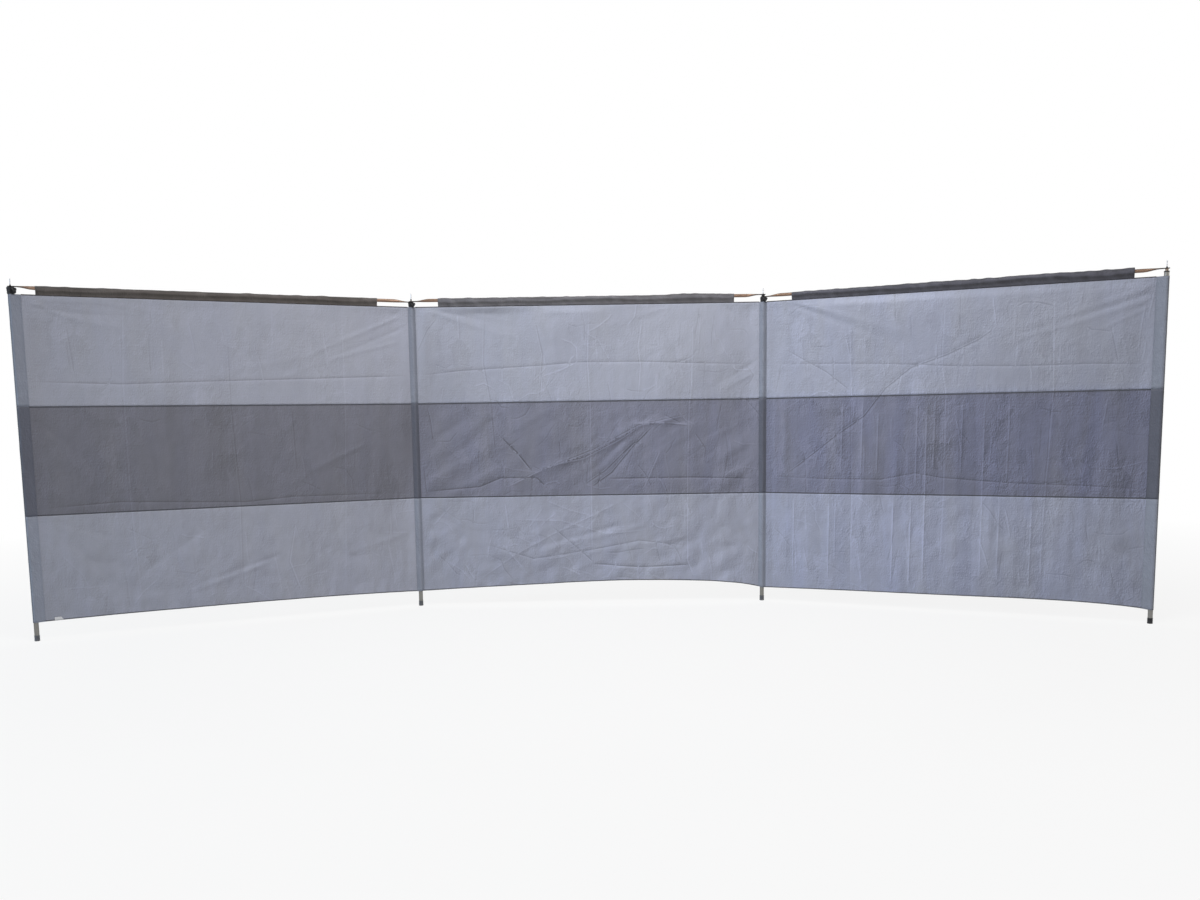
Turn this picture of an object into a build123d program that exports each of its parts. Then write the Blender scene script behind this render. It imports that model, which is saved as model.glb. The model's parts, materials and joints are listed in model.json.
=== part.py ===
from build123d import *
import math
import os

# A free-standing beach windbreak: four uprights, and three bays of cloth between them.
# Lengths are in millimetres and angles in degrees. +Z is up and the front looks to -Y.
# Every part is built in the frame of its own bay: X runs along the bay from its first
# upright, and Z = 0 is the ground.

# Plan
bay_pitch = 1650.0  # from one upright's axis to the next
bay_angle = 25.0  # how far each outer bay turns forward from the middle one

bay_uprights = {
    "left": ("left_mid", "left_end"),
    "middle": ("left_mid", "right_mid"),
    "right": ("right_mid", "right_end"),
}  # the first and the far upright of each bay

# Clearances
running_gap = 0.3  # between pieces that turn on each other
fit_gap = 0.1  # between pieces that are pressed or slid together
seat_gap = 0.2  # between sewn cloth and the round pocket that it is sewn to
cut_overrun = 5.0  # how far a cutting shape passes the face that it cuts

# Uprights: plain round steel tubes
upright_diameter = 19.0
upright_wall = 1.0
upright_above_cloth = 18.0  # bare end of the tube over the cloth's top edge

# Foot caps: moulded cups with a flared foot
foot_cap_diameter = 21.0
foot_cap_flare = 0.5
foot_cap_flare_height = 5.0
foot_cap_height = 24.0
foot_cap_sole = 4.0
foot_cap_edge = 1.5
foot_cap_rim_share = 0.6  # of the wall, rounded off at the rim

# Top plugs: a collar on the tube's end, with a stem inside it
plug_collar_diameter = 21.0
plug_collar_height = 4.5
plug_collar_edge = 1.0
plug_stem_length = 26.0
plug_stem_lead = 1.5

# Spikes: turned steel pins with a shoulder that the ridge poles rest on
spike_shoulder_diameter = 12.0
spike_low_shoulder_height = 1.6  # on the two middle uprights, which carry two poles each
spike_journal_diameter = 6.0
spike_journal_height = 16.5  # over the top plug
spike_pin_diameter = 5.0
spike_pin_length = 23.0
spike_tail_length = 22.0

# Ridge poles: steel tubes with both ends pressed flat and drilled
ridge_diameter = 15.0
ridge_wall = 0.8
ridge_flat_thickness = 2.5
ridge_slit = 0.4  # what is left of the bore where the end is flat
ridge_flat_length = 20.0  # from the spike's axis to where the tube starts to swell
ridge_swell_length = 62.0  # from the flat to the full round
ridge_eye_play = 0.4  # all round the spike's journal
ridge_swell_shares = (0.0, 0.1, 0.32, 0.62, 0.88, 1.0)  # of the swell, at even steps along it
ridge_press_share = 0.6  # how far each flat lies from the tube's axis towards its bottom or top

# Spacer: a moulded ring that holds the middle pole's raised end over the right pole's eye
spacer_diameter = 15.0
spacer_edge = 0.8

# Cloth: three strips sewn edge to edge
cloth_thickness = 1.2
hem_height = {"left_end": 80.0, "left_mid": 72.0, "right_mid": 65.0, "right_end": 58.0}  # above ground
lower_seam = 520.0
band_height = 450.0
upper_strip_height = 445.0
hem_rise = {"left": 9.0, "middle": 39.0, "right": 18.0}  # how far the bottom edge arches up
hem_crown_share = {"left": 0.42, "middle": 0.66, "right": 0.72}  # where along the bay it is highest

# Pole pockets: sewn tubes of cloth round the uprights
pocket_overhang = 5.0  # beyond the cloth's top and bottom edges
end_pocket_reach = 38.0  # from the upright's axis to the seam, on the two end uprights
end_pocket_seam = 5.0  # width of the seam where both layers lie together
swing_gap = 0.6  # between an outer bay's cloth and the pocket that it swings on

# Ridge sleeves: a loop of cloth round the ridge pole, on a strip along the top edge
sleeve_strip_height = 5.0
sleeve_set_back = {"left": (163.0, 92.0), "middle": (126.0, 145.0), "right": (136.0, 114.0)}

# Ties: webbing wound round the upright and knotted
tie_headroom = 2.7  # under the plug's collar
tie_thickness = 3.6
tie_knot_width = 14.0
tie_knot_depth = 10.0
tie_knot_height_share = 1.5  # of the wound webbing's height
tie_knot_edge_share = 0.28  # of the knot's depth
tie_knot_angle = {"left_end": 135.0, "left_mid": -55.0, "right_mid": -70.0}  # from the bay's X direction

# Heights and radii that follow from the sizes above
upright_radius = upright_diameter / 2
upright_bore = upright_radius - upright_wall
upper_seam = lower_seam + band_height
cloth_top = upper_seam + upper_strip_height
upright_top = cloth_top + upright_above_cloth
pocket_inside = upright_radius + running_gap
pocket_outside = pocket_inside + cloth_thickness
plug_top = upright_top + plug_collar_height
journal_top = plug_top + spike_journal_height
ridge_radius = ridge_diameter / 2
ridge_bore = ridge_radius - ridge_wall
flat_offset = (ridge_radius - ridge_flat_thickness / 2) * ridge_press_share
half_flat_and_gap = ridge_flat_thickness / 2 + running_gap
low_eye = plug_top + spike_low_shoulder_height + half_flat_and_gap
side_axis = low_eye + flat_offset
middle_axis = side_axis + ridge_flat_thickness + running_gap
ridge_axis = {"left": side_axis, "middle": middle_axis, "right": side_axis}
end_shoulder_height = spike_low_shoulder_height + 2 * flat_offset
sleeve_inside = ridge_radius + running_gap
sleeve_outside = sleeve_inside + cloth_thickness


def bay_places():
    """Frame of each bay: its first upright's place, and its X axis along the bay."""
    half_pitch = bay_pitch / 2
    row_y = bay_pitch * math.sin(math.radians(bay_angle)) / 2
    return {
        "left": Location((-half_pitch, row_y, 0), (0, 0, 180 + bay_angle)),
        "middle": Location((-half_pitch, row_y, 0)),
        "right": Location((half_pitch, row_y, 0), (0, 0, -bay_angle)),
    }


def ring(outside, inside, bottom, top):
    """Upright tube between two heights."""
    height = top - bottom
    tube = Cylinder(outside, height) - Cylinder(inside, height)
    return Pos(0, 0, (bottom + top) / 2) * tube


def turned(points):
    """Solid of revolution about Z from (radius, height) corners."""
    outline = make_face(Polyline(*points, close=True))
    return revolve(Plane.XZ * outline, Axis.Z)


def upright_tube():
    return ring(upright_radius, upright_bore, foot_cap_sole, upright_top)


def foot_cap():
    """Moulded cup: flared foot, straight wall and a rounded rim and sole."""
    outside = foot_cap_diameter / 2
    foot = outside + foot_cap_flare
    inside = upright_radius + fit_gap
    cap = turned([
        (0, 0),
        (foot - foot_cap_edge, 0),
        (foot, foot_cap_edge),
        (outside, foot_cap_flare_height),
        (outside, foot_cap_height),
        (inside, foot_cap_height),
        (inside, foot_cap_sole),
        (0, foot_cap_sole),
    ])
    rim = cap.edges().filter_by(GeomType.CIRCLE).group_by(Axis.Z)[-1].sort_by(SortBy.RADIUS)[-1]
    return fillet(rim, (outside - inside) * foot_cap_rim_share)


def top_plug():
    """Collar on the tube's end and a stem with a lead-in inside it, bored for the spike's tail."""
    collar = plug_collar_diameter / 2
    stem = upright_bore - fit_gap
    bore = spike_journal_diameter / 2 + fit_gap
    stem_foot = upright_top - plug_stem_length
    plug = turned([
        (bore, stem_foot),
        (stem - plug_stem_lead, stem_foot),
        (stem, stem_foot + plug_stem_lead),
        (stem, upright_top),
        (collar, upright_top),
        (collar, plug_top),
        (bore, plug_top),
    ])
    rim = plug.edges().filter_by(GeomType.CIRCLE).group_by(Axis.Z)[-1].sort_by(SortBy.RADIUS)[-1]
    return fillet(rim, plug_collar_edge)


def spike(shoulder_height):
    """Tail in the plug, shoulder on the plug, journal for the eyes, then a slimmer domed pin."""
    shoulder = spike_shoulder_diameter / 2
    journal = spike_journal_diameter / 2
    pin = spike_pin_diameter / 2
    tail_foot = plug_top - spike_tail_length
    shoulder_top = plug_top + shoulder_height
    pin_top = journal_top + spike_pin_length
    tip = pin_top + pin
    dome_share = math.sqrt(0.5)
    outline = [
        Polyline(
            (0, tip),
            (0, tail_foot),
            (journal, tail_foot),
            (journal, plug_top),
            (shoulder, plug_top),
            (shoulder, shoulder_top),
            (journal, shoulder_top),
            (journal, journal_top),
            (pin, journal_top),
            (pin, pin_top),
        ),
        ThreePointArc((pin, pin_top), (pin * dome_share, pin_top + pin * dome_share), (0, tip)),
    ]
    return revolve(Plane.XZ * make_face(outline), Axis.Z)


def spacer():
    """Ring on the right middle spike, between the two eyes there."""
    bottom = low_eye + half_flat_and_gap
    top = middle_axis + flat_offset - half_flat_and_gap
    tube = ring(spacer_diameter / 2, spike_journal_diameter / 2 + ridge_eye_play, bottom, top)
    rims = [edges.sort_by(SortBy.RADIUS)[-1] for edges in tube.edges().filter_by(GeomType.CIRCLE).group_by(Axis.Z)]
    return fillet(rims, spacer_edge)


def pressed_section(along, offset, perimeter, thickness, round_radius):
    """Section of the tube at one place along it: a circle, or a slot with the same length round."""
    if thickness >= 2 * round_radius:
        flat = round_radius * math.sin(math.radians(45))
        rise = flat
        side = round_radius
        crest = round_radius
    else:
        flat = (perimeter - math.pi * thickness) / 4
        rise = thickness / 2
        side = flat + rise
        crest = rise
    top = [(-flat, rise), (0, crest), (flat, rise)]
    bottom = [(flat, -rise), (0, -crest), (-flat, -rise)]
    over = ThreePointArc(*top) if crest > rise else Line(top[0], top[2])
    under = ThreePointArc(*bottom) if crest > rise else Line(bottom[0], bottom[2])
    right = ThreePointArc((flat, rise), (side, 0), (flat, -rise))
    left = ThreePointArc((-flat, -rise), (-side, 0), (-flat, rise))
    return Plane.YZ.offset(along) * Pos(0, offset) * make_face([over, right, under, left])


def pressed_end(radius, flat_thickness, far_end, flat_side):
    """One pressed end on the axis X: flat from far_end, then swelling step by step to the round.

    The flat lies towards the tube's bottom or top, as flat_side is -1 or 1.
    """
    perimeter = 2 * math.pi * radius
    steps = len(ridge_swell_shares) - 1
    sections = [pressed_section(far_end, flat_side * flat_offset, perimeter, flat_thickness, radius)]
    for step, share in enumerate(ridge_swell_shares):
        along = ridge_flat_length + ridge_swell_length * step / steps
        offset = flat_side * flat_offset * (1 - share)
        thickness = flat_thickness + (2 * radius - flat_thickness) * share
        sections.append(pressed_section(along, offset, perimeter, thickness, radius))
    return loft(sections, ruled=True)


def drilled_end(flat_side):
    """End of a ridge pole from its eye to the full round: pressed flat, rounded off and drilled."""
    half_flat = math.pi * (ridge_diameter - ridge_flat_thickness) / 4 + ridge_flat_thickness / 2
    round_start = ridge_flat_length + ridge_swell_length
    outer = pressed_end(ridge_radius, ridge_flat_thickness, -half_flat, flat_side)
    inner = pressed_end(ridge_bore, ridge_slit, -half_flat - cut_overrun, flat_side)
    rounding = Cylinder(half_flat, ridge_diameter)
    keep = rounding + Pos(round_start / 2, 0, 0) * Box(round_start, ridge_diameter * 2, ridge_diameter)
    eye = Cylinder(spike_journal_diameter / 2 + ridge_eye_play, ridge_diameter)
    return (outer & keep) - inner - eye


def ridge_pole(height):
    """Round tube whose first end is pressed down to its bottom, and whose far end up to its top."""
    round_start = ridge_flat_length + ridge_swell_length
    section = Plane.YZ.offset(round_start) * (Circle(ridge_radius) - Circle(ridge_bore))
    tube = extrude(section, bay_pitch - 2 * round_start)
    far_end = Pos(bay_pitch, 0, 0) * Rot(0, 0, 180) * drilled_end(1)
    return Pos(0, 0, height) * (tube + drilled_end(-1) + far_end)


def teardrop(radius, reach):
    """Loop of cloth pulled to a point: a circle and its two tangents to a point on -Y."""
    lean = math.asin(radius / reach)
    touch_x = radius * math.cos(lean)
    touch_y = -radius * math.sin(lean)
    loop = ThreePointArc((-touch_x, touch_y), (0, radius), (touch_x, touch_y))
    sides = Polyline((touch_x, touch_y), (0, -reach), (-touch_x, touch_y))
    return make_face([loop, sides])


def sewn_loop(inside, outside, reach, seam):
    """Teardrop loop one cloth thick, ending at reach in a seam with both layers together."""
    point = reach - seam / 2
    both_layers = Pos(0, seam / 2 - reach) * Rectangle(2 * cloth_thickness, seam)
    return teardrop(outside, point) + both_layers - teardrop(inside, point * inside / outside)


def cloth_span(bay):
    """Where a bay's cloth starts and ends along the bay."""
    if bay == "middle":
        start = pocket_outside + seat_gap
        return start, bay_pitch - start
    return pocket_outside + swing_gap, bay_pitch - end_pocket_reach


def hem_ends(bay):
    """Heights of a bay's bottom edge at its first and far uprights."""
    first, far = bay_uprights[bay]
    return hem_height[first], hem_height[far]


def plain_strip(bay, bottom, top):
    start, end = cloth_span(bay)
    middle = Pos((start + end) / 2, 0, (bottom + top) / 2)
    return middle * Box(end - start, cloth_thickness, top - bottom)


def lower_strip(bay):
    """Bottom strip, with its free edge drawn up in an arch between the uprights."""
    start, end = cloth_span(bay)
    first, far = hem_ends(bay)
    share = hem_crown_share[bay]
    crown = (start + (end - start) * share, first + (far - first) * share + hem_rise[bay])
    arch = Spline((start, first), crown, (end, far))
    frame = Polyline((end, far), (end, lower_seam), (start, lower_seam), (start, first))
    return extrude(Plane.XZ * make_face([arch, frame]), cloth_thickness / 2, both=True)


def ridge_sleeve(bay):
    """Loop round the ridge pole, cut back from the uprights, on a strip along the whole top edge."""
    start, end = cloth_span(bay)
    loop_start, loop_end = sleeve_set_back[bay]
    drop = ridge_axis[bay] - cloth_top
    section = sewn_loop(sleeve_inside, sleeve_outside, drop, sleeve_strip_height)
    loop = extrude(Plane.YZ * section, bay_pitch - loop_start - loop_end)
    strip = Box(end - start, 2 * cloth_thickness, sleeve_strip_height)
    strip_place = Pos((start + end) / 2, 0, cloth_top + sleeve_strip_height / 2)
    return Pos(loop_start, 0, ridge_axis[bay]) * loop + strip_place * strip


def pocket(section, bottom, top):
    return Pos(0, 0, bottom) * extrude(section, top - bottom)


def pole_pockets(upright):
    """Light and dark stretches of one pole pocket; an end pocket's seam lies towards its bay."""
    if upright.endswith("_end"):
        section = Rot(0, 0, -90) * sewn_loop(pocket_inside, pocket_outside, end_pocket_reach, end_pocket_seam)
    else:
        section = Circle(pocket_outside) - Circle(pocket_inside)
    lower = pocket(section, hem_height[upright] - pocket_overhang, lower_seam)
    upper = pocket(section, upper_seam, cloth_top + pocket_overhang)
    return Compound([lower, upper]), pocket(section, lower_seam, upper_seam)


def webbing_tie(knot_angle):
    """Webbing wound round the upright above its pocket, with the knot standing up beside the plug."""
    bottom = cloth_top + pocket_overhang + running_gap
    height = upright_top - tie_headroom - bottom
    knot_height = height * tie_knot_height_share
    knot_reach = plug_collar_diameter / 2 + running_gap + tie_knot_depth / 2
    inside = upright_radius + fit_gap
    wound = ring(inside + tie_thickness, inside, bottom, bottom + height)
    knot = Box(tie_knot_depth, tie_knot_width, knot_height)
    knot = fillet(knot.edges(), tie_knot_depth * tie_knot_edge_share)
    return wound + Rot(0, 0, knot_angle) * Pos(knot_reach, 0, bottom + knot_height / 2) * knot


def whole_part():
    """Every node by name, placed in the frame of the whole windbreak."""
    places = bay_places()
    far = Pos(bay_pitch, 0, 0)
    uprights = {
        "left_end": places["left"] * far,
        "left_mid": places["middle"],
        "right_mid": places["middle"] * far,
        "right_end": places["right"] * far,
    }
    nodes = {}
    for name, place in uprights.items():
        nodes[f"{name}_upright"] = place * upright_tube()
        nodes[f"{name}_foot_cap"] = place * foot_cap()
        nodes[f"{name}_top_plug"] = place * top_plug()
        at_end = name.endswith("_end")
        nodes[f"{name}_spike"] = place * spike(end_shoulder_height if at_end else spike_low_shoulder_height)
        light, dark = pole_pockets(name)
        nodes[f"{name}_light_pocket"] = place * light
        nodes[f"{name}_dark_pocket"] = place * dark
        if name in tie_knot_angle:
            nodes[f"{name}_tie"] = place * webbing_tie(tie_knot_angle[name])
    nodes["right_mid_spacer"] = uprights["right_mid"] * spacer()
    for bay, place in places.items():
        nodes[f"{bay}_lower_strip"] = place * lower_strip(bay)
        nodes[f"{bay}_dark_band"] = place * plain_strip(bay, lower_seam, upper_seam)
        nodes[f"{bay}_upper_strip"] = place * plain_strip(bay, upper_seam, cloth_top)
        nodes[f"{bay}_ridge_sleeve"] = place * ridge_sleeve(bay)
        nodes[f"{bay}_ridge_pole"] = place * ridge_pole(ridge_axis[bay])
    return nodes


os.makedirs("parts", exist_ok=True)
for node, shape in whole_part().items():
    export_step(shape, f"parts/{node}.step")
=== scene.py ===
import json
import math

import bpy
import numpy as np
from mathutils import Matrix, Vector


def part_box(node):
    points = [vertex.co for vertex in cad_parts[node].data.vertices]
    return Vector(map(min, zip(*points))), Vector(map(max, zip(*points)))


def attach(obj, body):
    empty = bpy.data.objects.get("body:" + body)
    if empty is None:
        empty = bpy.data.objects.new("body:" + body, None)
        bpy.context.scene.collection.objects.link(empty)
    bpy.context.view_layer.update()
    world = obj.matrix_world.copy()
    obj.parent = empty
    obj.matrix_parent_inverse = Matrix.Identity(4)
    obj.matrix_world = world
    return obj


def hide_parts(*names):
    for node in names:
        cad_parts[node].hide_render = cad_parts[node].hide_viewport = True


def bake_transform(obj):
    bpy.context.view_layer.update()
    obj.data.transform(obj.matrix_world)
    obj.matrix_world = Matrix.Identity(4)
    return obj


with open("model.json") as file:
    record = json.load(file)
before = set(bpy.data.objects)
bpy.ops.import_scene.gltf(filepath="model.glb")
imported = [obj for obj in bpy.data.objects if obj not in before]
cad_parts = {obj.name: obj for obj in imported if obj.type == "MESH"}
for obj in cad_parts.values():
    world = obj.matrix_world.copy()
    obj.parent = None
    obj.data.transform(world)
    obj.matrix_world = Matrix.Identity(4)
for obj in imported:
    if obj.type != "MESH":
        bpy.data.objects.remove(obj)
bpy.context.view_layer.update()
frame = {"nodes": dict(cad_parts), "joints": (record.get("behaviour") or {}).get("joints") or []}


# Uprights: four plain round steel tubes that carry everything else.
# Drawn and galvanised, so they are a dull mid grey with fine streaks along the tube
# and small bright scuffs.
def add_node(tree, kind, values=None, **options):
    """One shader node: its options are set, and each input gets a value or a link."""
    node = tree.nodes.new(kind)
    for name, option in options.items():
        setattr(node, name, option)
    for name, value in (values or {}).items():
        if isinstance(value, bpy.types.NodeSocket):
            tree.links.new(value, node.inputs[name])
        else:
            node.inputs[name].default_value = value
    return node


def calc(tree, operation, *values):
    """Result of one Math node on one or two values or links."""
    return add_node(tree, "ShaderNodeMath", dict(enumerate(values)), operation=operation).outputs[0]


def weigh(tree, first, share, second, rest):
    """Sum of two values, each times its own share."""
    return calc(tree, "ADD", calc(tree, "MULTIPLY", first, share), calc(tree, "MULTIPLY", second, rest))


def vector_calc(tree, operation, *values):
    """Outputs of one Vector Math node on some places or links."""
    return add_node(tree, "ShaderNodeVectorMath", dict(enumerate(values)), operation=operation).outputs


def object_place(tree):
    """Place on a piece in metres, which is its place in the frame."""
    return add_node(tree, "ShaderNodeTexCoord").outputs["Object"]


def noise(tree, place, scale, detail=2.0, stretch=None, distortion=0.0):
    """Noise over a place, stretched by three factors where they are given."""
    if stretch is not None:
        place = add_node(tree, "ShaderNodeMapping", {"Vector": place, "Scale": stretch}).outputs[0]
    values = {"Vector": place, "Scale": scale, "Detail": detail, "Distortion": distortion}
    return add_node(tree, "ShaderNodeTexNoise", values).outputs[0]


def spread(tree, value, low, high, to_low=0.0, to_high=1.0):
    """Value between two levels, spread to run from one number to another."""
    values = {"Value": value, "From Min": low, "From Max": high, "To Min": to_low, "To Max": to_high}
    return add_node(tree, "ShaderNodeMapRange", values).outputs[0]


def blend_colours(tree, share, first, second, how="MIX"):
    """Colour between two colours or links, by a share from 0 to 1."""
    values = {0: share, 6: first, 7: second}
    return add_node(tree, "ShaderNodeMix", values, data_type="RGBA", blend_type=how).outputs[2]


def shade(colour, gain):
    """Colour made darker or paler by a gain."""
    return (*(gain * part for part in colour[:3]), 1.0)


def feed(tree, sockets, links):
    """Links each value to the socket of its name."""
    for name, value in links.items():
        tree.links.new(value, sockets[name])


def new_group(name, takes, gives):
    """Empty node group with named inputs and outputs, and its two end nodes."""
    tree = bpy.data.node_groups.new(name, "ShaderNodeTree")
    for socket, kind in takes.items():
        tree.interface.new_socket(socket, in_out="INPUT", socket_type=kind)
    for socket in gives:
        tree.interface.new_socket(socket, in_out="OUTPUT", socket_type="NodeSocketFloat")
    source = tree.nodes.new("NodeGroupInput")
    target = tree.nodes.new("NodeGroupOutput")
    return tree, source.outputs, target.inputs


def use_group(tree, group, **values):
    """Outputs of one node group placed in a material, with its own values."""
    return add_node(tree, "ShaderNodeGroup", values, node_tree=group).outputs


def new_material(name, **constants):
    """Material with one Principled shader, whose plain numbers are set on its own sockets."""
    material = bpy.data.materials.new(name)
    material.use_nodes = True
    tree = material.node_tree
    shader = tree.nodes["Principled BSDF"]
    for socket, value in constants.items():
        shader.inputs[socket.replace("_", " ")].default_value = value
    return material, tree, shader.inputs


def raise_surface(tree, height, distance, under=None):
    """Normal of a surface raised by a height, over another bump where one is given."""
    values = {"Height": height, "Distance": distance, "Strength": 1.0}
    if under is not None:
        values["Normal"] = under
    return add_node(tree, "ShaderNodeBump", values).outputs[0]


def drawn_steel_group():
    """Drawn tube: fine streaks along its length, slow clouds, and scuffs where a noise is high."""
    takes = {"Place": "NodeSocketVector", "Scuffed": "NodeSocketFloat"}
    tree, takes, gives = new_group("drawn_steel", takes, ("Streak", "Scuff", "Cloud"))
    place = takes["Place"]
    speck = noise(tree, place, 260.0, 5.0, (1.0, 1.0, 0.35), 0.6)
    edge = calc(tree, "SUBTRACT", 0.86, calc(tree, "MULTIPLY", takes["Scuffed"], 0.3))
    feed(tree, gives, {
        "Streak": noise(tree, place, 900.0, 3.0, (1.0, 1.0, 0.02)),
        "Scuff": spread(tree, speck, edge, 0.88),
        "Cloud": noise(tree, place, 22.0, 4.0, (1.0, 1.0, 0.4)),
    })
    return tree


drawn_steel = drawn_steel_group()


def steel_finish(name, colour, pale, roughness, scuffed, turn=None, ends=()):
    """Steel tube: two tones by the streaks and clouds, bright scuffs, and a faint drawn grain.

    The streaks run upwards, or along a level tube turned by an angle. Round two ends, where they are given,
    the steel is painted near black as shade.
    """
    material, tree, shader = new_material(name, Metallic=0.85, Specular_Tint=(0.2, 0.2, 0.2, 1))
    place = lengthwise = object_place(tree)
    if turn is not None:
        cos, sin = math.cos(turn), math.sin(turn)
        axes = (-sin, cos, 0.0), (0.0, 0.0, 1.0), (cos, sin, 0.0)
        turned = [vector_calc(tree, "DOT_PRODUCT", place, axis)["Value"] for axis in axes]
        lengthwise = add_node(tree, "ShaderNodeCombineXYZ", dict(enumerate(turned))).outputs[0]
    steel = use_group(tree, drawn_steel, Place=lengthwise, Scuffed=scuffed)
    share = weigh(tree, steel["Streak"], 0.55, steel["Cloud"], 0.45)
    tone = blend_colours(tree, spread(tree, share, 0.3, 0.7), colour, pale)
    wear_and_shade = blend_colours(tree, steel["Scuff"], tone, shade(pale, 1.5))
    if ends:
        unshaded, painted_dark = 0.085, 0.03  # distance from an end: where the painted shade starts, and where it is full
        gaps = [vector_calc(tree, "DISTANCE", place, end)["Value"] for end in ends]
        near = spread(tree, calc(tree, "MINIMUM", *gaps), unshaded, painted_dark)
        # Painted shade: the steel turns near black towards the pressed ends.
        wear_and_shade = blend_colours(tree, near, wear_and_shade, (0.025, 0.02, 0.018, 1))
    feed(tree, shader, {
        "Base Color": wear_and_shade,
        "Roughness": spread(tree, steel["Cloud"], 0.25, 0.75, roughness - 0.07, roughness + 0.1),
        "Normal": raise_surface(tree, steel["Streak"], 0.00004),
    })
    return material


def dress(material, *nodes):
    """Gives CAD nodes a finish."""
    for node in nodes:
        mesh = frame["nodes"][node].data
        mesh.materials.clear()
        mesh.materials.append(material)


upright_names = ("left_end", "left_mid", "right_mid", "right_end")
dull_grey, pale_grey = (0.175, 0.172, 0.162, 1), (0.27, 0.265, 0.25, 1)
dull_steel = steel_finish("galvanised_tube", dull_grey, pale_grey, roughness=0.42, scuffed=0.35)
dress(dull_steel, *[f"{upright}_upright" for upright in upright_names])


# Foot caps, top plugs and the spacer: small parts moulded in black plastic.
# Each cap is pushed over its tube's foot, each plug into its tube's top, and the spacer
# slides on the right middle spike between two pole ends. Three of the caps are painted a paler grey for the
# light on them.
rubbed_height = 0.016


def part_of(tree, place, axis):
    """One of the three parts of a place."""
    return add_node(tree, "ShaderNodeSeparateXYZ", {"Vector": place}).outputs[axis]


def moulded_group():
    """Moulded skin: a fine spark-eroded grain, slow clouds, and rubbed patches near the ground."""
    takes = {"Place": "NodeSocketVector"}
    tree, takes, gives = new_group("moulded_skin", takes, ("Grain", "Rubbed", "Cloud"))
    place = takes["Place"]
    low = spread(tree, part_of(tree, place, "Z"), rubbed_height, 0.0)
    patch = spread(tree, noise(tree, place, 420.0, 4.0), 0.42, 0.66)
    feed(tree, gives, {
        "Grain": noise(tree, place, 2600.0, 2.0),
        "Rubbed": calc(tree, "MULTIPLY", low, patch),
        "Cloud": noise(tree, place, 120.0, 3.0),
    })
    return tree


moulded_skin = moulded_group()


def plastic_finish(name, colour, rubbed):
    """Plastic: slightly uneven, paler and rougher where it is rubbed."""
    material, tree, shader = new_material(name, Specular_IOR_Level=0.3)
    skin = use_group(tree, moulded_skin, Place=object_place(tree))
    tone = blend_colours(tree, spread(tree, skin["Cloud"], 0.3, 0.7), shade(colour, 0.75), colour)
    feed(tree, shader, {
        "Base Color": blend_colours(tree, skin["Rubbed"], tone, rubbed),
        "Roughness": spread(tree, skin["Rubbed"], 0.0, 1.0, 0.46, 0.75),
        "Normal": raise_surface(tree, skin["Grain"], 0.00006),
    })
    return material


black_plastic = plastic_finish("moulded_black", (0.017, 0.017, 0.02, 1), (0.09, 0.09, 0.092, 1))
# Painted light: a paler grey black for three caps, for the light they catch.
pale_painted_plastic = plastic_finish("pale_painted_black", (0.13, 0.135, 0.15, 1), (0.2, 0.2, 0.21, 1))
top_plugs = [f"{upright}_top_plug" for upright in upright_names]
*pale_painted_caps, black_cap = [f"{upright}_foot_cap" for upright in upright_names]
dress(black_plastic, "right_mid_spacer", black_cap, *top_plugs)
dress(pale_painted_plastic, *pale_painted_caps)


# Spikes: turned steel pins that stand out of the top plugs.
# Zinc plate over turning rings: tan on the shoulder, painted black as shade where the pole ends sit and turn,
# and bright on the pin.
shoulder_top, journal_top = 1.4465, 1.455
tan_zinc, painted_shade_black = (0.2, 0.155, 0.125, 1), (0.012, 0.011, 0.011, 1)
dull_zinc, bright_zinc = (0.44, 0.44, 0.46, 1), (0.58, 0.58, 0.6, 1)


def turned_finish():
    """Plate over fine level rings: tan on the shoulder, painted shade black above it and bright on the pin.
    """
    material, tree, shader = new_material("bright_zinc", Metallic=1.0, Specular_Tint=(0.3, 0.3, 0.3, 1))
    place = object_place(tree)
    rings = noise(tree, place, 1400.0, 2.0, (0.02, 0.02, 1.0))
    cloud = noise(tree, place, 180.0, 3.0)
    pin = blend_colours(tree, spread(tree, cloud, 0.3, 0.7), dull_zinc, bright_zinc)
    height = part_of(tree, place, "Z")
    # Painted shade: the journal above the shoulder is black where the pole ends sit.
    painted_dark = spread(tree, height, shoulder_top - 0.0003, shoulder_top + 0.0003)
    bare = spread(tree, height, journal_top - 0.0005, journal_top + 0.0005)
    feed(tree, shader, {
        "Base Color": blend_colours(tree, bare, blend_colours(tree, painted_dark, tan_zinc, painted_shade_black), pin),
        "Roughness": spread(tree, rings, 0.2, 0.8, 0.28, 0.44),
        "Normal": raise_surface(tree, rings, 0.00005),
    })
    return material


dress(turned_finish(), *[f"{upright}_spike" for upright in upright_names])


# Ridge poles: three steel tubes with both ends pressed flat and drilled, hung on the spikes.
# Their coating is brown, worn to a tan shine along the tube, and painted near black at the pressed ends as
# shade.
bay_names = ("left", "middle", "right")
bay_turn = math.radians(25.0)
brown, tan = (0.12, 0.07, 0.048, 1), (0.36, 0.25, 0.185, 1)
for bay, turn in zip(bay_names, (bay_turn, 0.0, -bay_turn)):
    low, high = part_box(f"{bay}_ridge_pole")
    tilted = {"left": (low.y, high.y), "middle": (high.y, high.y), "right": (high.y, low.y)}[bay]
    tips = [(x, y, (low.z + high.z) / 2) for x, y in zip((low.x, high.x), tilted)]
    dress(steel_finish(f"{bay}_brown_tube", brown, tan, 0.33, 0.5, turn, tips), f"{bay}_ridge_pole")
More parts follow.
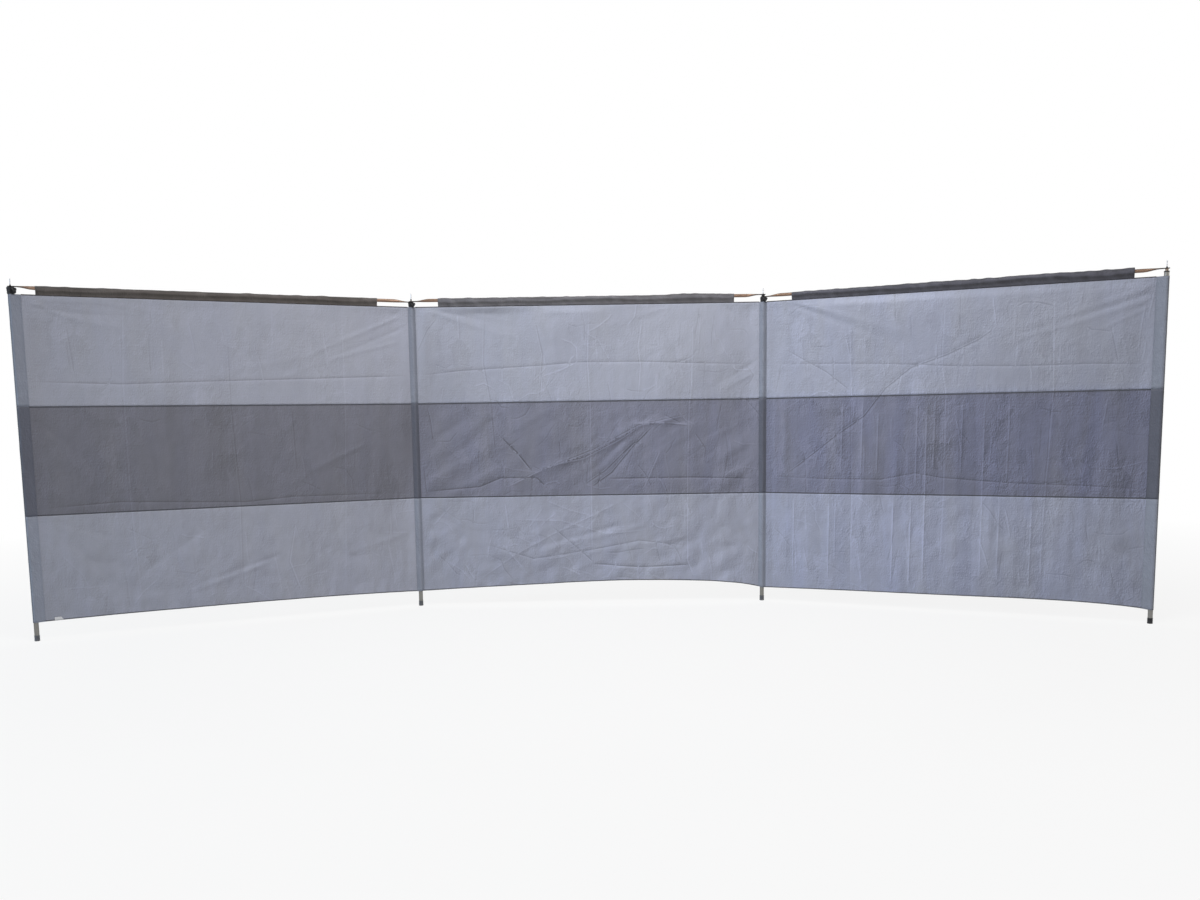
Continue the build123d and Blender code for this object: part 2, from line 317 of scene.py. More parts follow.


# Cloth: nine strips of thin woven polyester, three to a bay, sewn edge to edge.
# Pale grey above and below a dark band; hung between the uprights and the ridge poles,
# it keeps the sharp folds from its bag, is drawn to the corners, and crumples low down.
# Much of the light and shade on its folds, pleats and crinkles, and a cool sheen, is painted into its colour.
hinge_left, hinge_right = (np.array(joint["pos_m"][:2]) for joint in frame["joints"])
pitch = float(hinge_right[0] - hinge_left[0])
left_foot = hinge_left - pitch * np.array([math.cos(bay_turn), math.sin(bay_turn)])
bays = {"left": (left_foot, bay_turn), "middle": (hinge_left, 0.0), "right": (hinge_right, -bay_turn)}
lower_seam, upper_seam, cloth_top = 0.520, 0.970, 1.415
cloth_thickness = 0.0007
grid_step = 0.006
mid_edge, end_edge = 0.0135, 0.0325  # from an upright's axis to where a strip starts
hems = {
    "left": [(0.0, 0.079), (0.2, 0.0815), (0.55, 0.0845), (1.0, 0.0845), (1.35, 0.080), (1.65, 0.072)],
    "middle": [(0.0, 0.072), (0.25, 0.084), (0.58, 0.096), (1.06, 0.108), (1.3, 0.103),
               (1.45, 0.095), (1.57, 0.082), (1.65, 0.066)],
    "right": [(0.0, 0.065), (0.25, 0.0685), (0.55, 0.072), (0.9, 0.075), (1.24, 0.0775),
              (1.45, 0.074), (1.57, 0.067), (1.65, 0.059)],
}
# Each line is height in mm, half width in mm, and the places along and up the bay that it runs through.
sharp_folds = {
    "left": [
        (-1.1, 5, [(0.04, 1.07), (0.39, 1.06), (0.65, 1.07), (0.98, 1.08), (1.34, 1.09), (1.63, 1.10)]),
        (0.4, 5, [(0.41, 1.41), (0.39, 1.06), (0.39, 0.57), (0.41, 0.10)]),
        (-0.5, 5, [(0.82, 1.3), (0.82, 0.95), (0.83, 0.74), (0.84, 0.52), (0.83, 0.10)]),
        (0.4, 5, [(1.32, 1.39), (1.32, 0.97), (1.31, 0.65), (1.29, 0.12)]),
        (-0.5, 4, [(1.08, 0.95), (1.09, 0.66)]),
        (-0.8, 6, [(0.05, 0.55), (0.35, 0.565), (0.66, 0.55), (0.86, 0.54), (1.07, 0.555),
                   (1.61, 0.55)]),
        (0.7, 4, [(1.08, 0.46), (1.04, 0.26), (1.09, 0.11)]),
        (0.5, 4, [(1.52, 0.42), (1.5, 0.30), (1.53, 0.13)]),
        (-0.5, 4, [(0.50, 1.25), (0.50, 1.09)]),
        (0.4, 4, [(0.55, 1.25), (0.55, 1.09)]),
        (-0.5, 4, [(0.19, 1.30), (0.21, 1.09)]),
    ],
    "middle": [
        (-1.1, 5, [(0.02, 1.10), (0.22, 1.12), (0.42, 1.13), (0.62, 1.14), (0.78, 1.152),
                   (1.08, 1.15), (1.31, 1.14), (1.63, 1.13)]),
        (0.8, 5, [(0.83, 1.40), (0.82, 1.16), (0.83, 0.97), (0.83, 0.65), (0.83, 0.12)]),
        (0.9, 5, [(1.32, 1.37), (1.31, 1.03), (1.30, 0.94), (1.29, 0.59), (1.29, 0.20), (1.32, 0.12)]),
        (-0.8, 5, [(0.58, 1.34), (0.61, 1.19), (0.59, 0.98)]),
        (0.9, 5, [(1.08, 1.35), (1.06, 1.22), (1.07, 1.13), (1.06, 0.99)]),
        (-0.7, 5, [(0.34, 1.38), (0.33, 1.15), (0.36, 0.97), (0.38, 0.68)]),
        (-0.8, 4, [(0.12, 1.37), (0.07, 1.31), (0.02, 1.21)]),
        (-2.2, 6, [(0.39, 0.82), (0.48, 0.73), (0.55, 0.64)]),
        (-2.2, 6, [(1.13, 0.85), (1.03, 0.75), (0.93, 0.63), (0.83, 0.56)]),
        (1.8, 6, [(1.04, 0.86), (1.19, 0.86), (1.30, 0.85)]),
        (1.8, 6, [(1.30, 0.90), (1.06, 0.85), (0.84, 0.735), (0.58, 0.64), (0.42, 0.565)]),
        (1.4, 5, [(1.16, 0.91), (0.97, 0.785), (0.80, 0.70), (0.63, 0.665)]),
        (-1.5, 5, [(1.05, 0.785), (0.90, 0.64), (0.80, 0.575)]),
        (-0.8, 5, [(1.18, 0.90), (1.26, 0.86)]),
        (-1.5, 6, [(0.03, 0.55), (0.30, 0.57), (0.40, 0.61), (0.57, 0.61), (0.62, 0.56)]),
        (-1.5, 6, [(0.91, 0.60), (1.08, 0.60), (1.31, 0.60), (1.63, 0.59)]),
        (1.2, 6, [(1.16, 0.73), (1.08, 0.55)]),
        (0.6, 5, [(0.27, 0.11), (0.47, 0.245), (0.66, 0.345), (0.84, 0.425), (0.97, 0.49)]),
        (-1.0, 5, [(0.32, 0.295), (0.55, 0.22), (0.84, 0.26), (1.06, 0.30), (1.30, 0.27)]),
        (0.6, 5, [(0.47, 0.41), (0.69, 0.40), (0.90, 0.335), (1.10, 0.35)]),
        (-1.0, 5, [(0.64, 0.375), (0.77, 0.26), (0.84, 0.195)]),
        (-1.9, 6, [(0.83, 0.19), (1.07, 0.17), (1.31, 0.18)]),
        (0.5, 5, [(0.90, 0.48), (0.84, 0.40), (0.77, 0.32)]),
        (0.5, 5, [(0.61, 0.50), (0.73, 0.45), (0.88, 0.41)]),
        (-0.8, 4, [(1.63, 0.27), (1.605, 0.12)]),
        (-0.6, 4, [(1.61, 0.25), (1.59, 0.12)]),
    ],
    "right": [
        (-0.9, 5, [(0.02, 1.13), (0.32, 1.12), (0.57, 1.11), (0.86, 1.09), (1.13, 1.08),
                   (1.40, 1.08), (1.61, 1.07)]),
        (-1.7, 5, [(1.02, 1.25), (0.95, 1.20), (0.82, 1.14), (0.67, 1.09), (0.56, 1.00),
                   (0.47, 0.88), (0.33, 0.78), (0.18, 0.66), (0.11, 0.61)]),
        (-0.9, 6, [(0.11, 1.19), (0.30, 1.08), (0.41, 0.99)]),
        (0.8, 5, [(1.24, 1.41), (1.25, 0.97), (1.24, 0.69), (1.23, 0.53), (1.22, 0.10)]),
        (-1, 6, [(0.02, 0.60), (0.33, 0.59), (0.55, 0.59), (0.70, 0.62), (0.81, 0.60), (1.09, 0.58),
                 (1.41, 0.57), (1.61, 0.56)]),
        (0.7, 5, [(0.81, 1.38), (0.80, 1.10), (0.82, 0.97), (0.82, 0.60), (0.81, 0.10)]),
        (0.7, 5, [(0.40, 1.30), (0.41, 0.97), (0.42, 0.60), (0.42, 0.10)]),
        *[(height, 4, [(place, low), (place + 0.004, high)]) for place, low, high, height in (
            (0.315, 0.12, 0.50, 1.0), (0.345, 0.2, 0.5, 0.8), (0.37, 0.6, 0.95, 0.9),
            (0.46, 0.62, 0.95, 1.1),
            (0.53, 0.6, 0.9, 0.9), (0.603, 0.1, 0.5, 1.1), (0.68, 0.1, 0.5, 1.2),
            (0.70, 0.55, 0.95, 1.1),
            (0.74, 0.1, 0.92, 1.3), (0.775, 0.62, 0.96, 0.9), (0.89, 0.6, 0.95, 0.8),
            (0.98, 0.12, 0.9, 0.8),
            (1.05, 0.15, 0.5, 0.8), (1.08, 0.58, 0.95, 0.8), (1.18, 0.1, 0.5, 0.8),
            (0.15, 0.14, 0.5, 0.9))],
    ],
}
pulled_folds = {
    "left": [
        (1.6, 14, [(1.63, 1.39), (1.35, 1.27), (1.13, 1.18), (0.87, 1.13), (0.71, 1.06)]),
        (-1.2, 12, [(1.63, 1.33), (1.40, 1.235), (1.18, 1.15), (0.95, 1.10)]),
        (1.1, 13, [(1.60, 1.26), (1.22, 1.16), (1.08, 1.10), (0.93, 1.06)]),
        (1.9, 12, [(0.06, 1.39), (0.24, 1.32), (0.45, 1.29)]),
        (-1.6, 10, [(0.06, 1.37), (0.28, 1.345), (0.50, 1.34)]),
        (1.4, 10, [(0.06, 1.40), (0.37, 1.39), (0.65, 1.33)]),
        (-1.4, 13, [(0.04, 0.93), (0.21, 0.76), (0.37, 0.56)]),
        (1.4, 16, [(1.42, 0.79), (1.14, 0.66), (1.05, 0.57)]),
        (2.2, 20, [(0.94, 0.26), (0.60, 0.165), (0.16, 0.125)]),
        (-1.8, 15, [(1.02, 0.30), (0.66, 0.19), (0.42, 0.11)]),
        (1.4, 18, [(1.61, 0.36), (1.35, 0.29), (1.1, 0.21)]),
        (-1.2, 14, [(0.09, 0.5), (0.3, 0.42), (0.6, 0.4)]),
    ],
    "middle": [
        (2.2, 14, [(0.05, 1.41), (0.28, 1.33), (0.50, 1.26)]),
        (-1.7, 11, [(0.09, 1.41), (0.30, 1.36), (0.52, 1.31)]),
        (-1.8, 10, [(1.46, 1.41), (1.54, 1.34), (1.585, 1.26)]),
        (1.6, 14, [(1.26, 1.41), (1.08, 1.37), (0.92, 1.31)]),
        (-1.9, 14, [(1.63, 1.15), (1.51, 1.08), (1.36, 1.00)]),
        (1.6, 12, [(1.63, 1.10), (1.53, 1.05), (1.43, 0.99)]),
        (3.6, 24, [(1.07, 0.87), (0.96, 0.81), (0.73, 0.69), (0.50, 0.63)]),
        (-2.8, 18, [(1.00, 0.79), (0.90, 0.70), (0.78, 0.60), (0.70, 0.54)]),
        (2, 20, [(1.10, 0.38), (0.77, 0.30), (0.47, 0.24), (0.20, 0.25)]),
        (-1.9, 16, [(0.98, 0.38), (0.56, 0.27), (0.30, 0.16)]),
        (1.6, 15, [(1.30, 0.32), (1.02, 0.27), (0.70, 0.22)]),
        (-1.4, 12, [(0.08, 0.44), (0.26, 0.36), (0.45, 0.37)]),
    ],
    "right": [
        (-2.9, 15, [(0.05, 1.43), (0.16, 1.39), (0.32, 1.32), (0.47, 1.26), (0.66, 1.18)]),
        (2, 14, [(0.10, 1.42), (0.34, 1.345), (0.55, 1.275), (0.70, 1.23)]),
        (1.7, 15, [(0.46, 1.00), (0.54, 0.88), (0.67, 0.64)]),
        (1.3, 14, [(1.62, 1.385), (1.34, 1.30), (1.00, 1.22)]),
        (-1.2, 12, [(1.62, 1.36), (1.32, 1.27), (1.00, 1.19)]),
        (1.2, 13, [(1.62, 1.335), (1.29, 1.24), (0.95, 1.15)]),
        (-1.1, 11, [(1.62, 1.405), (1.38, 1.385), (1.05, 1.345)]),
        (0.9, 11, [(1.62, 1.31), (1.38, 1.20), (1.15, 1.10)]),
        (-1.7, 15, [(0.90, 0.46), (1.08, 0.34), (1.24, 0.285)]),
        (1.3, 14, [(0.12, 0.48), (0.13, 0.36), (0.10, 0.26)]),
        (-1.2, 10, [(0.21, 1.38), (0.27, 1.27), (0.33, 1.16)]),
    ],
}
billow = {"left": 3.0, "middle": 4.5, "right": 3.5}  # mm, of the slow waves
crumple = {"left": 0.75, "middle": 0.95, "right": 0.6}  # mm, of the small random wrinkles
ripple = {"left": 0.3, "middle": 0.45, "right": 1.0}  # mm, of the upright ripples
slant = {"left": 0.15, "middle": 0.65, "right": 0.2}  # mm, of the crinkles that slant up to the right
slant_turn = math.radians(32.0)
wave_seed = {"left": 11, "middle": 23, "right": 37}
pucker_length, pucker_height, pucker_reach = 0.031, 0.0006, 0.022
held_reach, top_reach = 0.055, 0.04  # how far from the sides and the top the cloth is held flat
top_slack = 0.002
# Upright folds of each bay, and how strongly they show at six heights.
pleat_lines = {
    "left": [0, 0.1, 0.19, 0.3, 0.41, 0.5, 0.55, 0.62, 0.72, 0.82, 0.9, 0.98, 1.08, 1.16, 1.24, 1.32, 1.42,
             1.52, 1.65],
    "middle": [0, 0.09, 0.17, 0.26, 0.34, 0.42, 0.5, 0.58, 0.66, 0.74, 0.83, 0.92, 1.0, 1.08, 1.16, 1.24,
               1.32, 1.4, 1.48, 1.56, 1.65],
    "right": [0, 0.05, 0.11, 0.15, 0.22, 0.28, 0.33, 0.42, 0.47, 0.56, 0.61, 0.67, 0.75, 0.81, 0.87, 0.95,
              1.02, 1.08, 1.12, 1.24, 1.33, 1.42, 1.5, 1.57, 1.65],
}
pleat_heights = [0.0, 0.5, 0.55, 0.95, 1.0, 1.4]
pleat_levels = {
    "left": [0.1, 0.1, 0.16, 0.16, 0.14, 0.1],
    "middle": [0.14, 0.16, 0.2, 0.22, 0.16, 0.12],
    "right": [0.6, 0.6, 0.55, 0.55, 0.22, 0.12],
}
pleat_slope = 0.03
# How strongly the folds' and the pleats' slopes paint light and shade on the cloth.
fold_lustre, pleat_lustre = 1.7, 0.2
painted_light_lines = {  # painted light: how much lighter the pale and the dark cloth are painted, along each bay
    "left": ([(0.0, 0.02), (1.65, 0.0)],
             [(0.0, -0.1), (1.65, -0.12)]),
    "middle": ([(0.0, 0.0), (1.65, 0.06)],
               [(0.0, 0.07), (1.65, 0.1)]),
    "right": ([(0.0, 0.02), (0.5, 0.02), (1.2, -0.17), (1.65, -0.19)],
              [(0.0, 0.1), (0.5, 0.05), (1.2, -0.14), (1.65, -0.16)]),
}
fold_strength = 0.5
crease_counts = {"left": 60, "middle": 170, "right": 150}
crease_heights = {"left": 0.5, "middle": 0.85, "right": 0.85}  # strength of their painted light and shade, on the same scale as the folds' heights in mm
steep_shares = {"left": 0.5, "middle": 0.3, "right": 0.75}
crumple_levels = {  # strength of the small crinkles' painted light and cool sheen, at the pleats' six heights
    "left": [1.0, 0.9, 0.9, 0.9, 0.9, 0.9],
    "middle": [1.2, 1.1, 1.35, 1.3, 0.95, 0.9],
    "right": [1.6, 1.6, 1.9, 1.9, 1.2, 1.2],
}


def bay_point(bay, along, out, height):
    """Place in a bay: its left foot, plus a length along it, out to the front, and up."""
    (x, y), turn = bays[bay]
    cos, sin = math.cos(turn), math.sin(turn)
    along, out, height = np.broadcast_arrays(along, out, height)
    return np.stack([x + along * cos + out * sin, y + along * sin - out * cos, height], axis=-1)


def smooth_line(points, x):
    """Height of a smooth line through points: cubic between neighbours, with mean slopes at each."""
    px, py = np.array(points).T
    slope = np.gradient(py, px)
    place = np.clip(np.searchsorted(px, x) - 1, 0, len(px) - 2)
    run = px[place + 1] - px[place]
    t = (x - px[place]) / run
    keep, swap = 2 * t ** 3 - 3 * t ** 2 + 1, 3 * t ** 2 - 2 * t ** 3
    lead, trail = t ** 3 - 2 * t ** 2 + t, t ** 3 - t ** 2
    return keep * py[place] + swap * py[place + 1] + run * (lead * slope[place] + trail * slope[place + 1])


def line_distance(u, z, points, curved=False):
    """Distance of each place on the cloth from a line with corners, and the share of the line run there.

    The distance is below zero on the line's right-hand side. A curved line is smooth through its points.
    """
    path = np.array(points)
    if curved:
        knots = np.arange(len(path))
        fine = np.linspace(0, len(path) - 1, 6 * (len(path) - 1) + 1)
        path = np.stack([smooth_line(np.stack([knots, line], axis=1), fine) for line in path.T], axis=1)
    near, share = np.full(u.shape, 9.0), np.zeros(u.shape)
    for number, ((au, az), (bu, bz)) in enumerate(zip(path[:-1], path[1:])):
        du, dz = bu - au, bz - az
        t = np.clip(((u - au) * du + (z - az) * dz) / (du * du + dz * dz), 0, 1)
        distance = np.hypot(u - au - t * du, z - az - t * dz)
        closer = distance < np.abs(near)
        share = np.where(closer, (number + t) / (len(path) - 1), share)
        near = np.where(closer, np.where(du * (z - az) < dz * (u - au), -distance, distance), near)
    return near, share


def soft_step(x):
    """Smooth rise from 0 to 1 as x goes from 0 to 1."""
    t = np.clip(x, 0, 1)
    return t * t * (3 - 2 * t)


def random_waves(u, z, seed, count, longest, shortest, lean):
    """Sum of plane waves of random length, direction and phase, with unit mean square.

    Lean above 1 turns the waves' crests towards upright.
    """
    draw = np.random.default_rng(seed)
    length = longest * (shortest / longest) ** draw.random(count)
    angle = 2 * np.pi * draw.random(count)
    phase = 2 * np.pi * draw.random(count)
    weight = (length / longest) ** 0.8
    total = np.zeros(u.shape)
    for size, turn, start, share in zip(length, angle, phase, weight):
        place = u * lean * np.cos(turn) + z * np.sin(turn) / lean
        total += share * np.cos(2 * np.pi * place / size + start)
    return total / np.sqrt((weight ** 2).sum() / 2)


def small_creases(bay):
    """Short creases, painted as light and shade only, at random places, more of them low down, each of three
    runs that turn a little.
    """
    draw = np.random.default_rng(wave_seed[bay] + 60)
    count = crease_counts[bay]
    along = draw.uniform(0.05, pitch - 0.05, count)
    points = [np.stack([along, 0.1 + 1.25 * draw.random(count) ** 1.3], axis=1)]
    steep = draw.random(count) < steep_shares[bay]
    angle = np.radians(np.where(steep, 90 + draw.normal(0, 8, count), draw.uniform(-55, 55, count)))
    height = draw.uniform(0.2, crease_heights[bay], count) * draw.choice([-1, 1], count)
    for _ in range(3):
        length = draw.uniform(0.015, 0.07, count)
        points.append(points[-1] + length[:, None] * np.stack([np.cos(angle), np.sin(angle)], axis=1))
        angle = angle + draw.normal(0, np.where(steep, 0.08, 0.45))
    return list(zip(height, np.stack(points, axis=1)))


def end_fade(share, length):
    """Rise from 0 over the first share of a line, and fall to 0 over the last."""
    return np.clip(share / length, 0, 1) * np.clip((1 - share) / length, 0, 1)


def nearest_fold(u, z, folds):
    """Signed distance from the nearest of some folds, and how strongly that fold's painted light and shade
    show there.
    """
    near, strength = np.full(u.shape, 9.0), np.zeros(u.shape)
    for height, points in folds:
        distance, share = line_distance(u, z, points)
        closer = np.abs(distance) < np.abs(near)
        near = np.where(closer, distance, near)
        strength = np.where(closer, fold_strength * height * end_fade(share, 0.12), strength)
    return near, strength


def pleats(bay, u, z):
    """Upright folds: panels that lean by turns to the left and to the right, each with a slope of its own.

    Gives how far they stand out, which is the slope added up along the bay, and the slope itself.
    """
    lines = np.array(pleat_lines[bay])
    seed = wave_seed[bay] + 50
    slope = np.random.default_rng(seed).uniform(0.3, 1.0, len(lines) - 1)
    slope[::2] *= -1
    rise = np.concatenate([[0], np.cumsum(slope * np.diff(lines))])
    rise -= np.interp(lines, lines[[0, -1]], rise[[0, -1]])
    place = u + 0.003 * random_waves(0.3 * u, z, seed + 1, 6, 0.9, 0.3, 1.0)
    soft = 0.003
    edges = np.stack([lines[:-1] + soft, lines[1:] - soft], axis=1).ravel()
    patch = 0.45 + 0.55 * np.tanh(0.8 + random_waves(u, z, seed + 2, 8, 0.7, 0.2, 1.6))
    level = np.interp(z, pleat_heights, pleat_levels[bay]) * patch
    out = pleat_slope * np.interp(place, lines, rise) * level
    return out, np.interp(place, edges, np.repeat(slope, 2)) * level


def slanting_crinkles(bay, u, z):
    """Crinkles that slant up to the right: waves drawn out along the slant, in patches, weak near the top."""
    seed = wave_seed[bay]
    cos, sin = math.cos(slant_turn), math.sin(slant_turn)
    waves = random_waves(0.2 * (u * cos + z * sin), z * cos - u * sin, seed + 6, 24, 0.12, 0.035, 1.0)
    patch = 0.5 + 0.5 * np.tanh(0.6 + 1.2 * random_waves(u, z, seed + 7, 8, 0.6, 0.25, 1.0))
    return slant[bay] * 1e-3 * waves * patch * (0.15 + 0.85 * soft_step((1.0 - z) / 0.1))


def fold_out(bay, u, z):
    """How far the cloth stands out to the front: folds, pulls, slow waves, crumples and puckers added up.

    A sharp fold falls off evenly on both sides of its line, and a pulled fold is a round ridge
    that widens and fades along its line. All of it fades to nothing where the cloth is held.
    """
    seed = wave_seed[bay]
    out = np.zeros(u.shape)
    blunt = 0.003
    for height, width, points in sharp_folds[bay]:
        near, share = line_distance(u, z, points)
        fall = np.exp(-(np.sqrt(near ** 2 + blunt ** 2) - blunt) / (width * 1e-3))
        out += height * 1e-3 * end_fade(share, 0.1) * fall
    for height, width, points in pulled_folds[bay]:
        near, share = line_distance(u, z, points, curved=True)
        ends = np.clip(share / 0.06, 0, 1) * (1 - share) ** 0.7
        out += height * 1e-3 * ends * np.exp(-(near / (width * 1e-3 * (0.65 + 0.6 * share))) ** 2)
    out += billow[bay] * 1e-3 * random_waves(u, z, seed, 9, 1.3, 0.45, 1.0)
    low = 0.45 + 0.9 * soft_step((0.62 - z) / 0.3)
    net = random_waves(u, z, seed + 1, 18, 0.30, 0.11, 1.15)
    out += crumple[bay] * 1e-3 * low * (np.sqrt(net ** 2 + 0.02) - 0.8)
    out += 0.35 * crumple[bay] * 1e-3 * low * random_waves(u, z, seed + 2, 26, 0.10, 0.045, 1.2)
    upright = random_waves(u, z * 0.06, seed + 3, 22, 0.14, 0.035, 1.0)
    patch = 0.5 + 0.5 * np.tanh(1.2 * random_waves(u, z, seed + 4, 8, 0.8, 0.3, 1.4))
    out += ripple[bay] * 1e-3 * upright * patch * (0.25 + 0.75 * soft_step((1.05 - z) / 0.15))
    out += slanting_crinkles(bay, u, z)
    wander = 0.5 * random_waves(u, 0 * z, seed + 5, 7, 0.5, 0.12, 1.0)
    pucker = np.sin(2 * np.pi * u / pucker_length + 3 * wander) * (0.5 + 0.5 * np.tanh(wander * 2))
    for seam in (lower_seam, upper_seam, cloth_top, smooth_line(hems[bay], u)):
        out += pucker_height * np.exp(-np.abs(z - seam) / pucker_reach) * pucker
    out += pleats(bay, u, z)[0]
    start, end = cloth_span(bay)
    sides = soft_step(np.minimum(u - start, end - u) / held_reach)
    return out * sides * soft_step((cloth_top + top_slack - z) / top_reach)


def bay_span(bay, mid, end):
    """Where a form starts and ends along a bay, by its distance from a middle or an end upright's axis."""
    return end if bay == "left" else mid, pitch - (end if bay == "right" else mid)


def cloth_span(bay):
    """Where a bay's strips start and end along it."""
    return bay_span(bay, mid_edge, end_edge)


def quad_corners(grid):
    """The four corners of each quad between the neighbours of a grid."""
    return np.stack([grid[:-1, :-1], grid[1:, :-1], grid[1:, 1:], grid[:-1, 1:]], axis=2)


def new_piece(name, points, faces, material, flat=None):
    """Object at the origin from places and faces, smooth and with a UV map where it has a flat pattern."""
    mesh = bpy.data.meshes.new(name)
    mesh.from_pydata(points.reshape(-1, 3).tolist(), [], faces)
    if flat is not None:
        mesh.uv_layers.new(name="flat_pattern").data.foreach_set("uv", flat.ravel())
        mesh.polygons.foreach_set("use_smooth", np.ones(len(mesh.polygons), bool))
    mesh.materials.append(material)
    piece = bpy.data.objects.new(name, mesh)
    bpy.context.scene.collection.objects.link(piece)
    return piece


def surface_mesh(name, grids, material, around=False, **values):
    """Piece of one or more grids of places, each with its flat pattern in metres.

    Quads join neighbours, and the last row joins the first where the grid goes round. A face looks
    to the side of first direction times second direction. Further values, one for each place,
    become attributes.
    """
    faces, first = [], 0
    for points, _ in grids:
        rows, columns = points.shape[:2]
        index = first + np.arange(rows * columns).reshape(rows, columns)
        if around:
            index = np.concatenate([index, index[:1]])
        faces += quad_corners(index).reshape(-1, 4).tolist()
        first += rows * columns
    places = np.concatenate([points.reshape(-1, 3) for points, _ in grids])
    flat = np.concatenate([quad_corners(flat).reshape(-1, 2) for _, flat in grids])
    piece = new_piece(name, places, faces, material, flat)
    for value, numbers in values.items():
        piece.data.attributes.new(value, "FLOAT", "POINT").data.foreach_set("value", numbers.ravel())
    return piece


def thicken(piece, thickness):
    """Gives a sheet its thickness, half to each side."""
    solid = piece.modifiers.new("thickness", "SOLIDIFY")
    solid.thickness = thickness
    solid.offset = 0.0
    return piece


def weave_group():
    """Plain weave: warp and weft waves that pass over and under each other, and uneven threads."""
    takes = {"Place": "NodeSocketVector", "Threads": "NodeSocketFloat"}
    tree, takes, gives = new_group("plain_weave", takes, ("Height", "Slub"))
    place, threads = takes["Place"], takes["Threads"]
    wave = {"Vector": place, "Scale": threads}
    warp, weft = (add_node(tree, "ShaderNodeTexWave", wave, bands_direction=way).outputs[1] for way in "XY")
    squares = {"Vector": place, "Scale": calc(tree, "MULTIPLY", threads, 3.1831)}
    over = add_node(tree, "ShaderNodeTexChecker", squares).outputs[1]
    uneven = [noise(tree, place, 700.0, 2.0, stretch) for stretch in ((1.0, 0.03, 1.0), (0.03, 1.0, 1.0))]
    feed(tree, gives, {
        "Height": weigh(tree, warp, over, weft, calc(tree, "SUBTRACT", 1.0, over)),
        "Slub": weigh(tree, uneven[0], 0.5, uneven[1], 0.5),
    })
    return tree


def crinkle_group():
    """Thin coated cloth: sharp crinkles in patches, the light painted on their sides, slow clouds of tone,
    and patches of painted cool sheen.

    A crinkle is where a noise crosses its middle. Its painted lit side is the rise in height over a short
    step towards the light. Between the crinkles lie flat facets, each painted with a light or shade of its
    own.
    """
    takes = {"Place": "NodeSocketVector"}
    tree, takes, gives = new_group("cloth_crinkle", takes, ("Height", "Lit", "Tone", "Cast"))
    place = takes["Place"]
    patch = spread(tree, noise(tree, place, 4.5, 2.0), 0.36, 0.62, 0.25, 1.0)
    kinds = (46.0, (1.0, 0.3, 1.0), 0.45), (14.0, (1.0, 0.9, 1.0), 0.7), (125.0, (1.0, 0.6, 1.0), 0.72)

    def crinkles(at):
        """Height of the crinkles at a place: upright ones, crossing ones and fine ones."""
        heights = []
        for scale, stretch, share in kinds:
            wave = calc(tree, "SUBTRACT", noise(tree, at, scale, 2.0, stretch, 0.25), 0.5)
            heights.append(calc(tree, "MULTIPLY", calc(tree, "ABSOLUTE", wave), share))
        return calc(tree, "ADD", calc(tree, "ADD", heights[0], heights[1]), heights[2])

    height = crinkles(place)
    light_step = (-0.0028, 0.0028, 0.0)
    rise = calc(tree, "SUBTRACT", height, crinkles(vector_calc(tree, "ADD", place, light_step)[0]))
    wander = add_node(tree, "ShaderNodeTexNoise", {"Vector": place, "Scale": 9.0, "Detail": 2.0}).outputs[1]
    bent = vector_calc(tree, "MULTIPLY_ADD", wander, (0.06, 0.06, 0.0), place)[0]
    squeezed = add_node(tree, "ShaderNodeMapping", {"Vector": bent, "Scale": (1.0, 0.6, 1.0)}).outputs[0]
    cell = add_node(tree, "ShaderNodeTexVoronoi", {"Vector": squeezed, "Scale": 19.0}).outputs["Color"]
    facet = calc(tree, "MULTIPLY", calc(tree, "SUBTRACT", cell, 0.5), 0.11)
    small = noise(tree, place, 26.0, 4.0, (1.0, 0.45, 1.0), 0.4)
    large = noise(tree, place, 5.0, 3.0, (1.0, 0.6, 1.0))
    feed(tree, gives, {
        "Height": height,
        "Lit": calc(tree, "MULTIPLY", calc(tree, "ADD", rise, facet), patch),
        "Tone": weigh(tree, small, 0.6, large, 0.4),
        "Cast": noise(tree, place, 9.0, 3.0, (1.0, 0.22, 1.0), 0.5),
    })
    return tree


def fold_line_group():
    """Crisp fold, painted: lighter on one side of its line, darker on the other, with a painted light ridge
    or dark valley.
    """
    takes = {"Distance": "NodeSocketFloat", "Strength": "NodeSocketFloat"}
    tree, takes, gives = new_group("fold_line", takes, ("Lit",))
    half_width = 0.0036
    x = calc(tree, "DIVIDE", takes["Distance"], half_width)
    square = calc(tree, "MULTIPLY", x, x)
    bell, core = (calc(tree, "EXPONENT", calc(tree, "MULTIPLY", square, power)) for power in (-1.0, -3.0))
    profile = weigh(tree, x, bell, core, 0.55)
    feed(tree, gives, {"Lit": calc(tree, "MULTIPLY", profile, takes["Strength"])})
    return tree


plain_weave, cloth_crinkle, fold_line = weave_group(), crinkle_group(), fold_line_group()
fold_values = ("crumpled", "lustre", "upright_fold", "upright_strength", "cross_fold", "cross_strength")


def flat_place(tree):
    """Place on a piece's flat pattern, in metres."""
    return add_node(tree, "ShaderNodeUVMap", uv_map="flat_pattern").outputs[0]


def mark(tree, name):
    """Value that a piece's mesh holds for each place under a name."""
    return add_node(tree, "ShaderNodeAttribute", attribute_name=name).outputs["Fac"]


